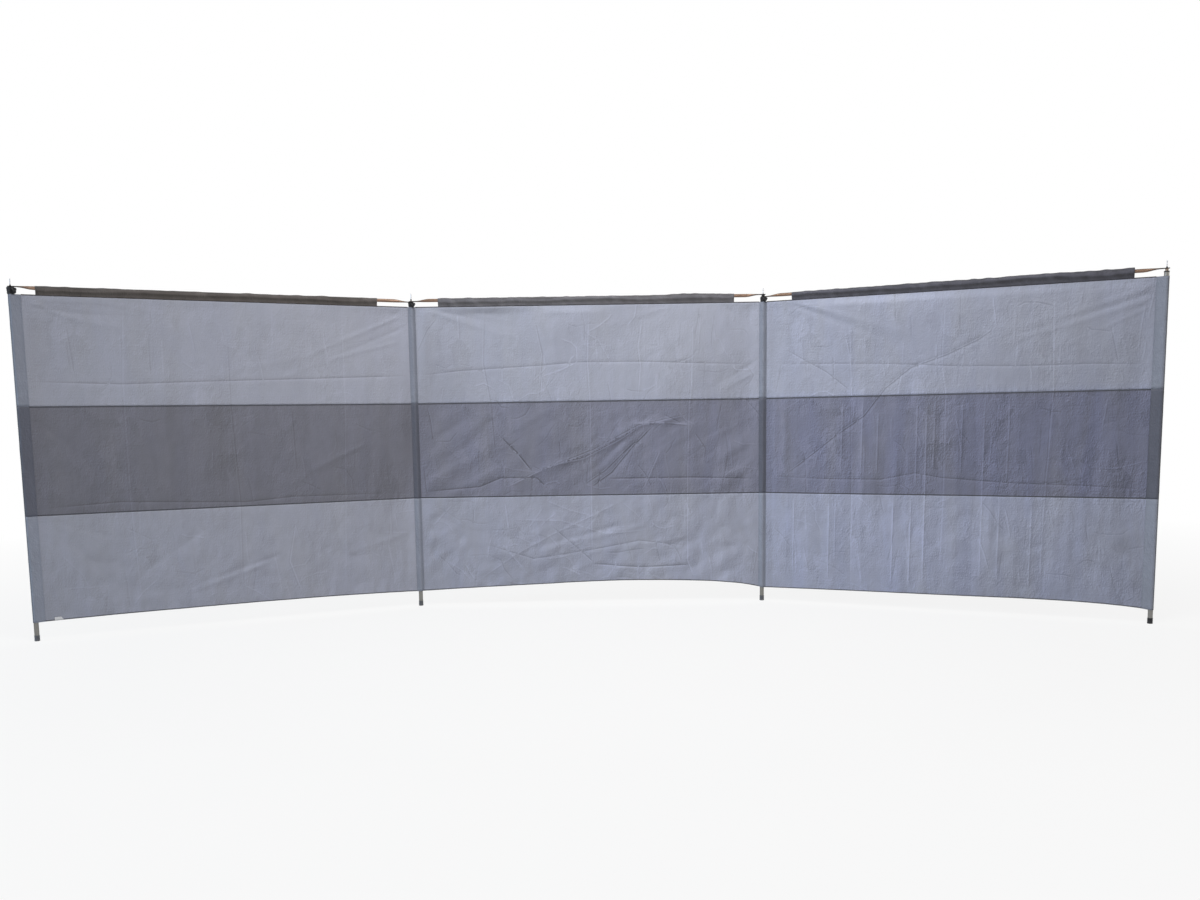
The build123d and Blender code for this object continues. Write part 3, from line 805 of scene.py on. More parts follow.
def cloth_finish(name, colour, sheen_colour, contrast, roughness=0.62, painted_light_depth=0.3, folded=False, edge_shading=0.0,
                 low_gain=1.0, relief=0.0035):
    """Woven cloth: a colour that varies with its threads and clouds, painted cooler in upright patches as a
    sheen.

    The depth of painted light is how much lighter and cooler it is painted on the crinkles' lit sides, and
    darker on the others; a folded cloth has its folds, and the painted light on them, as attributes. The edge
    shading is how much painted shade darkens it along the edge that an attribute marks, low gain how much
    paler it is near the ground, and relief the height of its crinkles.
    """
    material, tree, shader = new_material(
        name, Sheen_Weight=0.12, Sheen_Roughness=0.45, Specular_IOR_Level=0.3)
    place = flat_place(tree)
    weave = use_group(tree, plain_weave, Place=place, Threads=260.0)
    crinkle = use_group(tree, cloth_crinkle, Place=place)
    share = spread(tree, weigh(tree, crinkle["Tone"], 0.7, weave["Slub"], 0.3), 0.32, 0.68)
    tone = blend_colours(tree, share, shade(colour, 1 - contrast), shade(colour, 1 + contrast))
    # Painted cool sheen in patches, standing in for reflected sky.
    sheen_share = spread(tree, crinkle["Cast"], 0.2, 1.0, 0.13, 0.49)
    lit = calc(tree, "MULTIPLY", crinkle["Lit"], 1.7)
    if folded:
        held = {value: mark(tree, value) for value in fold_values}
        sheen_share = calc(tree, "MULTIPLY", sheen_share, calc(tree, "SUBTRACT", held["crumpled"], 0.45))
        lustre = calc(tree, "SUBTRACT", held["lustre"], 0.5)
        lit = calc(tree, "ADD", calc(tree, "MULTIPLY", lit, held["crumpled"]), lustre)
        for way in ("upright", "cross"):
            distance, strength = held[f"{way}_fold"], held[f"{way}_strength"]
            fold = use_group(tree, fold_line, Distance=distance, Strength=strength)
            lit = calc(tree, "ADD", lit, fold["Lit"])
    tinted = blend_colours(tree, sheen_share, tone, sheen_colour)
    # Painted light and shade: lighter and cooler on lit sides, darker on the others.
    low, high = shade((1.0, 1.0, 0.985), 1 - painted_light_depth), shade((0.985, 1.0, 1.035), 1 + painted_light_depth)
    gain = blend_colours(tree, calc(tree, "ADD", lit, 0.5), low, high)
    tinted = blend_colours(tree, 1.0, tinted, gain, "MULTIPLY")
    if low_gain != 1.0:
        paler = spread(tree, part_of(tree, place, "Y"), 0.3, 1.2, low_gain, 1.0)
        tinted = blend_colours(tree, 1.0, tinted, paler, "MULTIPLY")
    # Painted shade along the edge that the attribute marks.
    if edge_shading:
        darker = calc(tree, "MULTIPLY", mark(tree, "edge"), edge_shading)
        tinted = blend_colours(tree, darker, tinted, (0, 0, 0, 1))
    creased = raise_surface(tree, crinkle["Height"], relief)
    feed(tree, shader, {
        "Base Color": tinted,
        "Roughness": spread(tree, crinkle["Tone"], 0.3, 0.7, roughness + 0.08, roughness - 0.08),
        "Normal": raise_surface(tree, weave["Height"], 0.00012, creased),
    })
    return material


light_cloth = cloth_finish(
    "pale_grey_cloth", (0.38, 0.386, 0.427, 1), (0.352, 0.393, 0.625, 1), 0.05, painted_light_depth=0.3, folded=True)
dark_cloth = cloth_finish(
    "dark_grey_cloth", (0.2, 0.198, 0.219, 1), (0.186, 0.203, 0.345, 1), 0.07, painted_light_depth=0.42, folded=True)


def cloth_strip(bay, part, bottom, top, material):
    """One strip: places along the bay by places up the strip, out by the folds.

    Its painted light rises where the cloth leans to the left and upwards, as if lit from there, and varies
    along the bay.
    """
    start, end = cloth_span(bay)
    u = np.linspace(start, end, 1 + round((end - start) / grid_step))[:, None]
    t = np.linspace(0, 1, 1 + round((upper_seam - lower_seam) / grid_step))[None, :]
    low = smooth_line(hems[bay], u) if bottom is None else bottom
    z = low + t * (top - low)
    u, z = np.broadcast_arrays(u, z)
    out = fold_out(bay, u, z)
    along, upwards = (np.gradient(out, axis=n) / np.gradient(way, axis=n) for n, way in enumerate((u, z)))
    lean = along - upwards
    # Painted light: from the cloth's lean, its pleats and its bay.
    bay_painted_light = np.interp(u, *np.array(painted_light_lines[bay][part == "dark_band"]).T)
    lustre = 0.5 + 0.5 * np.tanh(fold_lustre * lean) + pleat_lustre * pleats(bay, u, z)[1] + bay_painted_light
    steep, flat = [], small_creases(bay)
    for height, _, points in reversed(sharp_folds[bay]):
        upright = abs(points[-1][0] - points[0][0]) < 0.1
        (steep if upright else flat).insert(0, (height, points))
    crumpled = np.interp(z, pleat_heights, crumple_levels[bay])
    values = crumpled, np.clip(lustre, 0, 1), *nearest_fold(u, z, steep), *nearest_fold(u, z, flat)
    grid = bay_point(bay, u, out, z), np.stack([u, z], axis=-1)
    piece = surface_mesh(f"{bay}_{part}_cloth", [grid], material, **dict(zip(fold_values, values)))
    thicken(piece, cloth_thickness)
    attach(piece, f"{bay}_bay")
    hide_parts(f"{bay}_{part}")
    return piece, (end - start, float(top - np.min(low)))


for bay in bay_names:
    cloth_strip(bay, "upper_strip", upper_seam, cloth_top, light_cloth)
    cloth_strip(bay, "dark_band", lower_seam, upper_seam, dark_cloth)
    cloth_strip(bay, "lower_strip", None, lower_seam, light_cloth)


# Pole pockets: tubes of the same cloth sewn round the uprights, light above and below and dark between.
# The two end pockets are drawn to a seam on the bay side; the two middle ones lie over their tube
# like a lens, sewn to both bays, and are bent from the middle bay's line to the outer bay's.
pocket_thickness = 0.0006
pocket_radius = 0.0107
mid_stitch, mid_flange = 0.0138, 0.0178
end_stitch, end_flange = 0.0295, 0.0355
layer_gap = 0.0011
pocket_top = 1.4175
pocket_row = 0.011
pocket_fade, flange_fade = 0.02, 0.004  # over which the wrinkles die out at an edge and a flange
wrinkle_height, wrinkle_limits = 0.0007, (-0.0003, 0.0016)
stitch_margin = 0.002
foot_blend, foot_drop = 0.005, 0.001
# Where the painted shade along a pocket's side starts, and over how much it fades in.
side_shade_start, side_shade_width = 0.0045, 0.005
# The pockets' cloth is painted darker than the strips' same cloth, as shade from the pole and the second
# layer inside.
light_pocket = cloth_finish(
    "pale_pocket_cloth", (0.25, 0.265, 0.31, 1), (0.25, 0.272, 0.345, 1), 0.1, edge_shading=0.65, low_gain=1.2)
dark_pocket = cloth_finish(
    "dark_pocket_cloth", (0.12, 0.125, 0.153, 1), (0.121, 0.13, 0.173, 1), 0.1, edge_shading=0.65)


def lens_half(stitch, flange):
    """Front half of a pocket's outline from its right flange to the top of the tube.

    A flat flange, then the straight line that touches the tube's circle, then the circle.
    """
    lean = math.acos(pocket_radius / stitch)
    turn = np.linspace(lean, math.pi / 2, 9)
    circle = pocket_radius * np.stack([np.cos(turn), np.sin(turn)], axis=1)
    tip = np.array([[flange, layer_gap], [stitch + stitch_margin, layer_gap]])
    share = np.linspace(0, 1, 7)[1:-1, None]
    straight = tip[1] + (circle[0] - tip[1]) * share
    return np.concatenate([np.linspace(tip[0], tip[1], 3)[:-1], tip[1:], straight, circle])


def round_half():
    """Front quarter of the tube's own circle, for the side of an end pocket that has no seam."""
    turn = np.linspace(0, math.pi / 2, 10)[1:]
    return pocket_radius * np.stack([np.cos(turn), np.sin(turn)], axis=1)


def pocket_outline(right, left):
    """Closed outline of a pocket, counter-clockwise: front halves to both sides, then the back's."""
    front = np.concatenate([right, (left * [-1, 1])[::-1][1:]])
    back = (front * [1, -1])[::-1]
    return np.concatenate([front, back])


def pocket_foot(upright, x):
    """Height of a pocket's foot: it runs on from the hems of the bays to its left and right."""
    number = upright_names.index(upright)
    to_left = smooth_line(hems[bay_names[max(number - 1, 0)]], pitch + np.minimum(x, 0))
    to_right = smooth_line(hems[bay_names[min(number, 2)]], np.maximum(x, 0))
    between = soft_step((x + foot_blend) / (2 * foot_blend))
    share = {"left_end": 1.0, "right_end": 0.0}.get(upright, between)
    return to_left + share * (to_right - to_left) - foot_drop


def path_run(points):
    """Length of a path from its start to each of its points."""
    return np.concatenate([[0], np.cumsum(np.linalg.norm(np.diff(points, axis=0), axis=1))])


def pocket_skin(outline, bottom, top, seed, bend):
    """Grid of a pocket: its outline at each height, with slanting wrinkles, bent and placed by `bend`.

    The wrinkles fade out where the pocket is held: at its flanges, and at its lower and upper edges.
    """
    bottom = np.broadcast_to(bottom, (len(outline), 1))
    z = bottom + np.linspace(0, 1, 1 + round((top - np.min(bottom)) / pocket_row)) * (top - bottom)
    run = path_run(np.concatenate([outline, outline[:1]]))[:, None]
    s = np.broadcast_to(run[:-1], z.shape)
    crossing = random_waves(s, z, seed, 16, 0.09, 0.03, 0.8)
    slanting = random_waves(s, z + s, seed + 1, 10, 0.16, 0.05, 1.0)
    free = soft_step((np.abs(outline[:, 1:]) - layer_gap) / flange_fade)
    free = free * soft_step((z - bottom) / pocket_fade) * soft_step((top - z) / pocket_fade)
    wrinkle = np.clip(wrinkle_height * (0.5 * crossing + 0.5 * slanting), *wrinkle_limits)
    swell = 1 + free * wrinkle / np.hypot(*outline.T)[:, None]
    x, y = outline[:, :1] * swell, outline[:, 1:] * swell
    flat = np.stack(np.broadcast_arrays(run, np.concatenate([z, z[:1]])), axis=-1)
    return bend(x, y, z), flat, float(run[-1, 0])


def pole_pockets(upright, outline, bend, ride, shaded_side, side_shade):
    """Light and dark pieces of one upright's pocket, with painted shade along one side."""
    seed = 100 + 10 * upright_names.index(upright)
    low = pocket_skin(outline, pocket_foot(upright, outline[:, :1]), lower_seam, seed, bend)
    band = pocket_skin(outline, lower_seam, upper_seam, seed + 3, bend)
    high = pocket_skin(outline, upper_seam, pocket_top, seed + 6, bend)
    # Painted shade along one side of the pocket.
    wear_and_shade = side_shade * soft_step((shaded_side * outline[:, :1] - side_shade_start) / side_shade_width)
    for tone, skins, material in (("light", (low, high), light_pocket), ("dark", (band,), dark_pocket)):
        edge = np.concatenate([(wear_and_shade + 0 * points[..., 2]).ravel() for points, _, _ in skins])
        grids = [(points, flat) for points, flat, _ in skins]
        piece = surface_mesh(f"{upright}_{tone}_pole_pocket", grids, material, around=True, edge=edge)
        thicken(piece, pocket_thickness)
        ride(piece)
        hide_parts(f"{upright}_{tone}_pocket")
        length = float(sum(np.ptp(points[..., 2]) for points, _ in grids))


def end_pocket(upright, bay, foot, side):
    """Pocket of an end upright: drawn to its seam on the side where its bay is."""
    right, left = (lens_half(end_stitch, end_flange), round_half())[::side]
    pole_pockets(upright, pocket_outline(right, left), lambda x, y, z: bay_point(bay, foot + x, y, z),
                 lambda piece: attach(piece, f"{bay}_bay"), -side, 1.0)


def middle_pocket(upright, hinge, side):
    """Pocket of a middle upright: straight along the middle bay, then turned to the outer bay's line."""
    half = lens_half(mid_stitch, mid_flange)

    def bend(x, y, z):
        turn = -side * bay_turn * soft_step((side * x + mid_stitch) / (2 * mid_stitch))
        front = -y
        return np.stack([hinge[0] + x * np.cos(turn) - front * np.sin(turn),
                         hinge[1] + x * np.sin(turn) + front * np.cos(turn), z], axis=-1)

    pole_pockets(upright, pocket_outline(half, half), bend,
                 lambda piece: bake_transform(piece), 1, 0.3)


end_pocket("left_end", "left", 0.0, 1)
middle_pocket("left_mid", hinge_left, -1)
middle_pocket("right_mid", hinge_right, 1)
end_pocket("right_end", "right", pitch, -1)


# Ridge sleeves: a dark strip of heavier cloth folded over each ridge pole and sewn to the top edge.
# It is cut back from the uprights, fits closely at its cut ends, and is full and a little twisted between.
# A narrow binding of the same cloth runs on along the whole top edge.
sleeve_thickness = 0.0009
sleeve_radius = 0.0084
sleeve_foot = cloth_top + 0.0015
sleeve_cuts = {"left": (0.088, 0.163), "middle": (0.126, 0.137), "right": (0.136, 0.114)}
sleeve_fullness = {
    "left": [(0.09, 0.1), (1.0, 0.2), (1.4, 0.5), (1.487, 0.1)],
    "middle": [(0.126, 0.3), (0.8, 0.1), (1.17, 0.3), (1.28, 2.6), (1.42, 2.6), (1.505, 1.0)],
    "right": [(0.136, 0.1), (0.5, 1.2), (0.9, 2.2), (1.3, 3.2), (1.536, 3.4)],
}  # mm, by the place along the bay
# Painted light and shade across the sleeve by height up its section: a light stripe about two thirds up,
# shade below it.
sleeve_rises = [0.0, 0.15, 0.34, 0.46, 0.56, 0.64, 0.76, 0.86, 0.96]
sleeve_lustres = [0.65, 0.6, 0.22, 0.12, 0.3, 0.95, 0.95, 0.5, 0.3]
# One cloth on all three bays, painted a different colour on each for the light there.
sleeve_colours = {
    "left": (0.097, 0.084, 0.076),
    "middle": (0.138, 0.131, 0.137),
    "right": (0.082, 0.079, 0.092),
}
sleeve_step = 0.007
twist_height, twist_drop, twist_fade = 0.0008, 0.004, 0.008
binding_reach, binding_depth = (-0.0002, 0.004), 0.0018
binding_cloth = cloth_finish(
    "charcoal_binding", (0.06, 0.055, 0.053, 1), (0.065, 0.063, 0.068, 1), 0.2, 0.6)


def ridge_axis(bay):
    """Height of a ridge pole's axis, from its solid."""
    low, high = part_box(f"{bay}_ridge_pole")
    return (low.z + high.z) / 2


def sleeve_skin(bay):
    """Folded strip: up the front, over the pole's circle and down the back, by places along the pole."""
    first, last = sleeve_cuts[bay]
    seed = wave_seed[bay] + 40
    u = np.linspace(first, pitch - last, 1 + round((pitch - first - last) / sleeve_step))[:, None]
    uneven = random_waves(u, 0 * u, seed, 9, 0.5, 0.12, 1.0)
    full = 1e-3 * np.interp(u, *np.array(sleeve_fullness[bay]).T) * (1 + 0.2 * uneven)
    radius = sleeve_radius + full
    axis = ridge_axis(bay) + 0.7 * full
    lean = np.arcsin(radius / (axis - sleeve_foot))
    angle = -lean + np.linspace(0, 1, 25)[None, 1:-1] * (np.pi + 2 * lean)
    circle = np.stack([radius * np.cos(angle), axis + radius * np.sin(angle)], axis=-1)
    foot = np.stack([0 * radius + layer_gap, 0 * radius + sleeve_foot], axis=-1)
    share = np.linspace(0, 1, 9)[None, :-1, None]
    front = foot + share * (circle[:, :1] - foot)
    behind = foot * [-1, 1]
    back = circle[:, -1:] + (share[:, 1:, :] + 1 / 8) / (9 / 8) * (behind - circle[:, -1:])
    profile = np.concatenate([front, circle, back[:, :-1], behind], axis=1)
    steps = np.linalg.norm(np.diff(profile, axis=1), axis=-1)
    run = np.concatenate([np.zeros((len(u), 1)), np.cumsum(steps, axis=1)], axis=1)
    along = np.broadcast_to(u, run.shape)
    twist = random_waves(along + 1.1 * run, run, seed + 1, 18, 0.12, 0.03, 1.0)
    slack = np.clip(run / twist_fade, 0, 1) * np.clip((run[:, -1:] - run) / twist_fade, 0, 1)
    rise = (profile[..., 1] - sleeve_foot) / (axis + radius - sleeve_foot)
    wavy = rise + 0.05 * random_waves(along, 0 * run, seed + 2, 8, 0.6, 0.1, 1.0)
    # Painted light across the section, with painted shade on the twists.
    lustre = np.clip(np.interp(wavy, sleeve_rises, sleeve_lustres) + 0.09 * twist, 0, 1)
    away = profile - np.stack([0 * axis, axis - twist_drop], axis=-1)
    away /= np.linalg.norm(away, axis=-1, keepdims=True)
    profile = profile + (twist_height * np.clip(twist, -0.5, 2.5) * slack)[..., None] * away
    points = bay_point(bay, along, profile[..., 0], profile[..., 1])
    flat = np.stack([along, run], axis=-1)
    return points[:, ::-1], flat[:, ::-1], lustre[:, ::-1], float(run.mean(axis=0)[-1])


def band_span(bay):
    """Where a bay's bands start and end along it: just clear of the pockets' flanges."""
    clear = 0.0004
    return bay_span(bay, mid_flange + clear, end_flange + clear)


def round_wave(wave, power):
    """Sine or cosine made squarer by a power below 1, for a rounded slot section."""
    return np.sign(wave) * np.abs(wave) ** power


def edge_binding(bay, name, height, low, high, depth, material):
    """Narrow folded band along a bay: a rounded slot section carried along a line and the cloth's folds."""
    start, end = band_span(bay)
    u = np.linspace(start, end, 1 + round((end - start) / grid_step))[:, None]
    middle = height(u) + (low + high) / 2
    turn = np.linspace(0, 2 * np.pi, 13)[None, :]
    up = middle + (high - low) / 2 * round_wave(np.sin(turn), 0.6)
    out = fold_out(bay, u, middle) + depth / 2 * round_wave(np.cos(turn), 0.6)
    along, across = np.broadcast_arrays(u, turn * (high - low + depth) / np.pi)
    flat = np.stack([along, across], axis=-1)
    return band_piece(f"{bay}_{name}", bay_point(bay, along, out, up), flat, material, bay)


def band_piece(name, points, flat, material, bay):
    """Closed band from a grid whose last column repeats its first: merged there, with both ends capped."""
    rows, columns = points.shape[0], points.shape[1] - 1
    index = np.arange(rows * columns).reshape(rows, columns)
    sides = quad_corners(np.concatenate([index, index[:, :1]], axis=1)).reshape(-1, 4).tolist()
    caps = [index[0].tolist(), index[-1, ::-1].tolist()]
    flats = np.concatenate([quad_corners(flat).reshape(-1, 2), flat[0, :-1], flat[-1, -2::-1]])
    piece = new_piece(name, points[:, :-1], sides + caps, material, flats)
    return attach(piece, f"{bay}_bay")


for bay in bay_names:
    points, flat, lustre, girth = sleeve_skin(bay)
    colour = (*sleeve_colours[bay], 1)
    sheen_colour = (*(1.05 * np.array(sleeve_colours[bay]) * [0.98, 1.02, 1.12]), 1)
    sleeve_cloth = cloth_finish(
        f"{bay}_charcoal_cloth", colour, sheen_colour, 0.2, 0.6, painted_light_depth=0.46, folded=True, relief=0.008)
    sleeve = surface_mesh(f"{bay}_folded_sleeve", [(points, flat)], sleeve_cloth, lustre=lustre)
    thicken(sleeve, sleeve_thickness)
    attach(sleeve, f"{bay}_bay")
    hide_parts(f"{bay}_ridge_sleeve")
    binding = edge_binding(
        bay, "top_binding", lambda u: cloth_top + 0 * u, *binding_reach, binding_depth, binding_cloth)


# Felled seams and the hem: where two strips meet, both edges are folded together towards the dark band,
# and the bottom edge is turned up twice. Each shows as a narrow dark ridge on both faces; the seams' near
# black is painted shadow along the fold, and the hem is a darker grey.
seam_width, seam_depth = 0.0055, 0.0016
hem_reach = -0.001, 0.0038  # below and above the hem line
# Seam ridges painted near black: painted shadow beside each felled seam.
seam_shadow_cloth = cloth_finish("painted_shadow_seam_cloth", (0.075, 0.075, 0.084, 1), (0.08, 0.083, 0.1, 1), 0.12, 0.7)
hem_cloth = cloth_finish("turned_hem_cloth", (0.135, 0.136, 0.145, 1), (0.14, 0.145, 0.17, 1), 0.12, 0.7)
for bay in bay_names:
    upper = edge_binding(
        bay, "upper_seam", lambda u: upper_seam + 0 * u, -seam_width, 0.0, seam_depth, seam_shadow_cloth)
    lower = edge_binding(
        bay, "lower_seam", lambda u: lower_seam + 0 * u, 0.0, seam_width, seam_depth, seam_shadow_cloth)
    hem = edge_binding(
        bay, "bottom_hem", lambda u: smooth_line(hems[bay], u), *hem_reach, seam_depth, hem_cloth)


# Ties: black woven webbing, wound round the tops of three uprights and knotted there.
# They keep the pockets from sliding off. Each knot is clear of the poles that swing.
webbing_width, webbing_thickness = 0.0085, 0.0016
tie_bottom = 1.4181
tie_tops = {"left_end": 1.4455, "left_mid": 1.4385, "right_mid": 1.4385}
tie_turns = {"left_end": 4.6, "left_mid": 3.4, "right_mid": 3.4}
tie_radius, turn_growth = 0.0117, 0.0005
knot_width, knot_side, knot_depth = 0.0075, 0.0098, 0.0022
knot_start, knot_out = 0.018, 0.0192  # from the tube's axis


def woven_finish(name, threads, colours, roughness, ribs, **constants):
    """Narrow woven stuff: two colours and two roughnesses by its uneven threads, raised in ribs."""
    material, tree, shader = new_material(name, **constants)
    weave = use_group(tree, plain_weave, Place=flat_place(tree), Threads=threads)
    feed(tree, shader, {
        "Base Color": blend_colours(tree, weave["Slub"], *colours),
        "Roughness": spread(tree, weave["Slub"], 0.3, 0.7, *roughness),
        "Normal": raise_surface(tree, weave["Height"], ribs),
    })
    return material


def webbing(name, path, across, width, bay, material):
    """Flat rounded section carried along a path, with its width as near to `across` as the path allows."""
    tangent = np.gradient(path, axis=0)
    tangent /= np.linalg.norm(tangent, axis=1, keepdims=True)
    flatwise = np.cross(tangent, across)
    flatwise /= np.linalg.norm(flatwise, axis=1, keepdims=True)
    across = np.cross(flatwise, tangent)
    turn = np.linspace(0, 2 * np.pi, 13)
    wide = width / 2 * round_wave(np.cos(turn), 0.5)
    thick = webbing_thickness / 2 * round_wave(np.sin(turn), 0.5)
    points = path[:, None] + wide[None, :, None] * across[:, None] + thick[None, :, None] * flatwise[:, None]
    flat = np.stack(np.broadcast_arrays(path_run(path)[:, None], width * turn[None, :] / np.pi), axis=-1)
    piece = band_piece(name, points[:, ::-1], flat[:, ::-1], material, bay)
    return piece


def tie(upright, bay, axis, material):
    """Turns of webbing that climb and thicken round the tube, and a knot that is a trefoil of webbing."""
    solid = frame["nodes"][f"{upright}_tie"]
    corners = np.array([solid.matrix_world @ vertex.co for vertex in solid.data.vertices])[:, :2] - axis
    outer = corners[np.hypot(*corners.T) > knot_start].mean(axis=0)
    outward = np.array([*(outer / np.hypot(*outer)), 0.0])
    sideways, upward = np.array([-outward[1], outward[0], 0.0]), np.array([0.0, 0.0, 1.0])
    top, turns = tie_tops[upright], tie_turns[upright]
    start = math.atan2(outward[1], outward[0])
    angle = start + np.linspace(0, 2 * np.pi * turns, round(44 * turns))
    share = np.linspace(0, 1, len(angle))
    radius = tie_radius + turn_growth * turns * share
    climb = soft_step((share * turns - 0.8) / (turns - 1.6))
    height = tie_bottom + webbing_width / 2 + climb * (top - tie_bottom - webbing_width)
    coil = np.stack([axis[0] + radius * np.cos(angle), axis[1] + radius * np.sin(angle), height], axis=1)
    lean = np.stack([0.12 * np.sin(2 * angle), 0.12 * np.cos(3 * angle), np.ones(len(angle))], axis=1)
    turns_piece = webbing(f"{upright}_tie_turns", coil, lean, webbing_width, bay, material)
    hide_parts(f"{upright}_tie")
    t = np.linspace(0.15, 2 * np.pi + 0.1, 120)[:, None]
    half = (top - tie_bottom - knot_width) / 2
    centre = np.array([*axis, tie_bottom + half + knot_width / 2]) + knot_out * outward
    across_t = (np.sin(t) + 2 * np.sin(2 * t)) / 3
    up_t = (np.cos(t) - 2 * np.cos(2 * t)) / 3
    knot = centre + knot_side * across_t * sideways + half * up_t * upward
    knot = knot - knot_depth * np.sin(3 * t) * outward
    tangent = np.gradient(knot, axis=0)
    webbing(f"{upright}_tie_knot", knot, np.cross(outward, tangent), knot_width, bay, material)


black_webbing = woven_finish(
    "black_webbing", 330.0, ((0.008, 0.008, 0.009, 1), (0.035, 0.035, 0.038, 1)), (0.85, 0.7), 0.0003,
    Specular_IOR_Level=0.3, Sheen_Weight=0.15)
tie("left_end", "left", left_foot, black_webbing)
tie("left_mid", "middle", hinge_left, black_webbing)
tie("right_mid", "middle", hinge_right, black_webbing)


# Stitches: rows of polyester thread along the seams, the hem and the foot of the sleeves, on both faces.
# Each is a small lens that lies half in the cloth.
stitch_pitch, stitch_length, stitch_width = 0.0042, 0.0029, 0.0007
seam_proud, sleeve_proud = 0.0009, layer_gap + 0.0006  # from the middle of the cloth
seam_inset, sleeve_inset = 0.012, 0.004  # from the ends of a row's strip
seam_row, hem_row, sleeve_row = 0.0028, 0.0016, 0.0022  # from the edges that the rows follow


def thread_finish():
    """Grey thread, paler and darker by turns along the row."""
    material, tree, shader = new_material("grey_thread", Roughness=0.65, Sheen_Weight=0.2)
    tone = noise(tree, object_place(tree), 900.0, 2.0)
    colour = blend_colours(tree, tone, (0.09, 0.09, 0.1, 1), (0.19, 0.19, 0.21, 1))
    feed(tree, shader, {"Base Color": colour})
    return material


def stitch_rows(bay, material):
    """All stitches of a bay: one eight-sided lens copied to every place in the rows."""
    start, end = cloth_span(bay)
    first, last = sleeve_cuts[bay]
    seam_u = np.arange(start + seam_inset, end - seam_inset, stitch_pitch)
    sleeve_u = np.arange(first + sleeve_inset, pitch - last - sleeve_inset, stitch_pitch)
    rows = [
        (seam_u, upper_seam - seam_row + 0 * seam_u, seam_proud),
        (seam_u, lower_seam + seam_row + 0 * seam_u, seam_proud),
        (seam_u, smooth_line(hems[bay], seam_u) + hem_row, seam_proud),
        (sleeve_u, sleeve_foot + sleeve_row + 0 * sleeve_u, sleeve_proud),
    ]
    u, z, proud = (np.concatenate(row) for row in zip(*[np.broadcast_arrays(*row) for row in rows]))
    out = fold_out(bay, u, z)
    half, wide = stitch_length / 2, stitch_width / 2
    lens = np.array([(half, 0, 0), (0, 0, wide), (-half, 0, 0), (0, 0, -wide), (0, wide, 0), (0, -wide, 0)])
    sides = np.array([
        (0, 1, 4), (1, 2, 4), (2, 3, 4), (3, 0, 4),
        (1, 0, 5), (2, 1, 5), (3, 2, 5), (0, 3, 5),
    ])
    centres = np.concatenate([np.stack([u, out + side * proud, z], axis=1) for side in (1, -1)])
    spots = centres[:, None] + lens[None]
    points = bay_point(bay, spots[..., 0], spots[..., 1], spots[..., 2])
    faces = (sides[None] + len(lens) * np.arange(len(centres))[:, None, None]).reshape(-1, 3)
    piece = new_piece(f"{bay}_stitches", points, faces.tolist(), material)
    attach(piece, f"{bay}_bay")


grey_thread = thread_finish()
for bay in bay_names:
    stitch_rows(bay, grey_thread)


# Tag: a small blank tab of white ribbon, caught in the left bay's hem near its end upright.
# It is cut with one slanted side and lies against the front of the lower strip.
tag_start, tag_end, tag_height, tag_slant = 0.070, 0.104, 0.0125, 0.009
tag_thickness = 0.0004
tag_lift, tag_proud, tag_curl = 0.0012, 0.0017, 0.0008
white_ribbon = woven_finish(
    "white_ribbon", 420.0, ((0.72, 0.72, 0.74, 1), (0.86, 0.86, 0.87, 1)), (0.55, 0.45), 0.00008,
    Specular_IOR_Level=0.4, Sheen_Weight=0.1)
across, up = np.meshgrid(np.linspace(0, 1, 25), np.linspace(0, 1, 11), indexing="ij")
tag_u = tag_start + across * (tag_end - tag_start - tag_slant * up)
tag_z = smooth_line(hems["left"], tag_u) + tag_lift + tag_height * up
tag_out = fold_out("left", tag_u, tag_z) + tag_proud + tag_curl * up * np.sin(3 * across + 0.6)
tag_grid = bay_point("left", tag_u, tag_out, tag_z), np.stack([tag_u, tag_z], axis=-1)
tag = thicken(surface_mesh("hem_tag", [tag_grid], white_ribbon), tag_thickness)
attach(tag, "left_bay")


# Floor, light and camera: a plain pale floor, soft light from the front and above, and the camera
# where the photograph was taken. The background is white to the camera and in reflections.
floor_reach = 30.0


def background_ray(tree):
    """One where the camera, a reflection or a view through glass meets it, and nought for light."""
    seen = add_node(tree, "ShaderNodeLightPath").outputs
    through = calc(tree, "MAXIMUM", seen["Is Glossy Ray"], seen["Is Transmission Ray"])
    return calc(tree, "MAXIMUM", seen["Is Camera Ray"], through)


def show_mix(tree, share, first, second, target):
    """Mix of two shaders by a share, shown by an output node."""
    mix = add_node(tree, "ShaderNodeMixShader", {0: share, 1: first.outputs[0], 2: second.outputs[0]})
    tree.links.new(mix.outputs[0], target.inputs["Surface"])


floor_material, tree, shader = new_material("pale_floor", Roughness=0.9)
floor_place = object_place(tree)
floor_cloud = noise(tree, floor_place, 3.0, 4.0)
floor_colour = blend_colours(tree, floor_cloud, (0.64, 0.64, 0.64, 1), (0.68, 0.68, 0.68, 1))
feed(tree, shader, {"Base Color": floor_colour})
far = spread(tree, vector_calc(tree, "LENGTH", floor_place)["Value"], 2.0, 6.0, 0.84, 1.0)
glow = add_node(tree, "ShaderNodeEmission", {"Color": (1, 1, 1, 1), "Strength": 1.0})
show_mix(tree, calc(tree, "MULTIPLY", background_ray(tree), far), tree.nodes["Principled BSDF"], glow,
         tree.nodes["Material Output"])
floor_x, floor_y = np.meshgrid([-floor_reach, floor_reach], [-floor_reach, floor_reach], indexing="ij")
floor_points = np.stack([floor_x, floor_y, 0 * floor_x], axis=-1)
floor = surface_mesh("floor", [(floor_points, floor_points[..., :2])], floor_material)

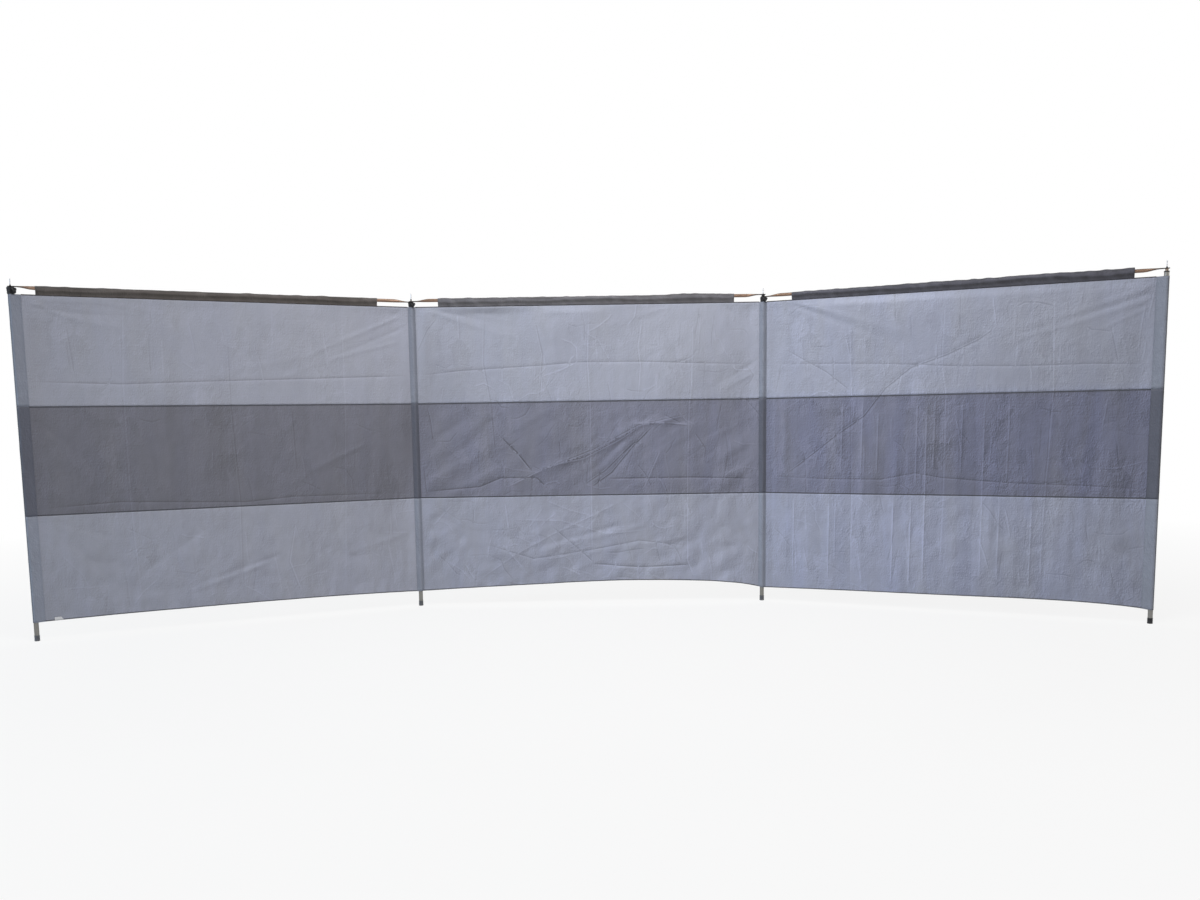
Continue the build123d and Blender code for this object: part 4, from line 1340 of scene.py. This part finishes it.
scene = bpy.context.scene
scene.world = bpy.data.worlds.new("white_studio")
scene.world.use_nodes = True
tree = scene.world.node_tree
tree.nodes.clear()
ambient = add_node(tree, "ShaderNodeBackground", {"Color": (1.0, 0.985, 0.97, 1), "Strength": 0.24})
white = add_node(tree, "ShaderNodeBackground", {"Color": (1, 1, 1, 1), "Strength": 1.0})
show_mix(tree, background_ray(tree), ambient, white, tree.nodes.new("ShaderNodeOutputWorld"))


def stand(name, data, place, right, up, back):
    """Lamp or camera at a place, with the directions of its right side, its top and its back."""
    thing = bpy.data.objects.new(name, data)
    turn = Matrix(np.stack([right, up, back], axis=1).tolist()).to_4x4()
    thing.matrix_world = Matrix.Translation(place) @ turn
    scene.collection.objects.link(thing)
    return thing


def soft_box(name, place, target, size, power, colour):
    """Square area lamp at a place, turned to its target."""
    lamp = bpy.data.lights.new(name, "AREA")
    lamp.size = size
    lamp.energy = power
    lamp.color = colour
    back = np.subtract(place, target)
    back /= np.linalg.norm(back)
    side = np.cross([0, 0, 1], back)
    side /= np.linalg.norm(side)
    stand(name, lamp, place, side, np.cross(back, side), back)


soft_box("front_box", (0.2, -1.9, 3.4), (0.1, 0.2, 0.7), 1.5, 76, (1.0, 0.99, 0.985))
soft_box("left_box", (-6.0, -2.0, 2.9), (0.6, 0.2, 0.7), 1.6, 132, (0.6, 0.8, 1.0))
soft_box("right_box", (5.6, -1.3, 1.6), (-0.6, 0.2, 0.7), 1.4, 22, (1.0, 0.94, 0.84))
soft_box("back_box", (-0.4, 4.2, 3.6), (0.0, 0.2, 0.8), 2.0, 90, (1.0, 0.99, 0.985))

scene.view_settings.view_transform = "Standard"
image_width, image_height = 1200, 900
focal_pixels = 1027.98
principal_x, principal_y = 580.18, 538.25
tilt_down, roll = 0.1143, -0.0157
camera_place = (-0.05, -4.9128 + float(hinge_left[1]), 0.8792)
lens = bpy.data.cameras.new("photo_camera")
lens.sensor_width = 36.0
lens.lens = lens.sensor_width * focal_pixels / image_width
lens.shift_x = (image_width / 2 - principal_x) / image_width
lens.shift_y = (principal_y - image_height / 2) / image_width
forward = np.array([0, math.cos(tilt_down), -math.sin(tilt_down)])
level = np.array([1.0, 0, 0])
upward = np.cross(level, forward)
right = level * math.cos(roll) + upward * math.sin(roll)
up = -level * math.sin(roll) + upward * math.cos(roll)
scene.camera = stand("photo_camera", lens, camera_place, right, up, -forward)
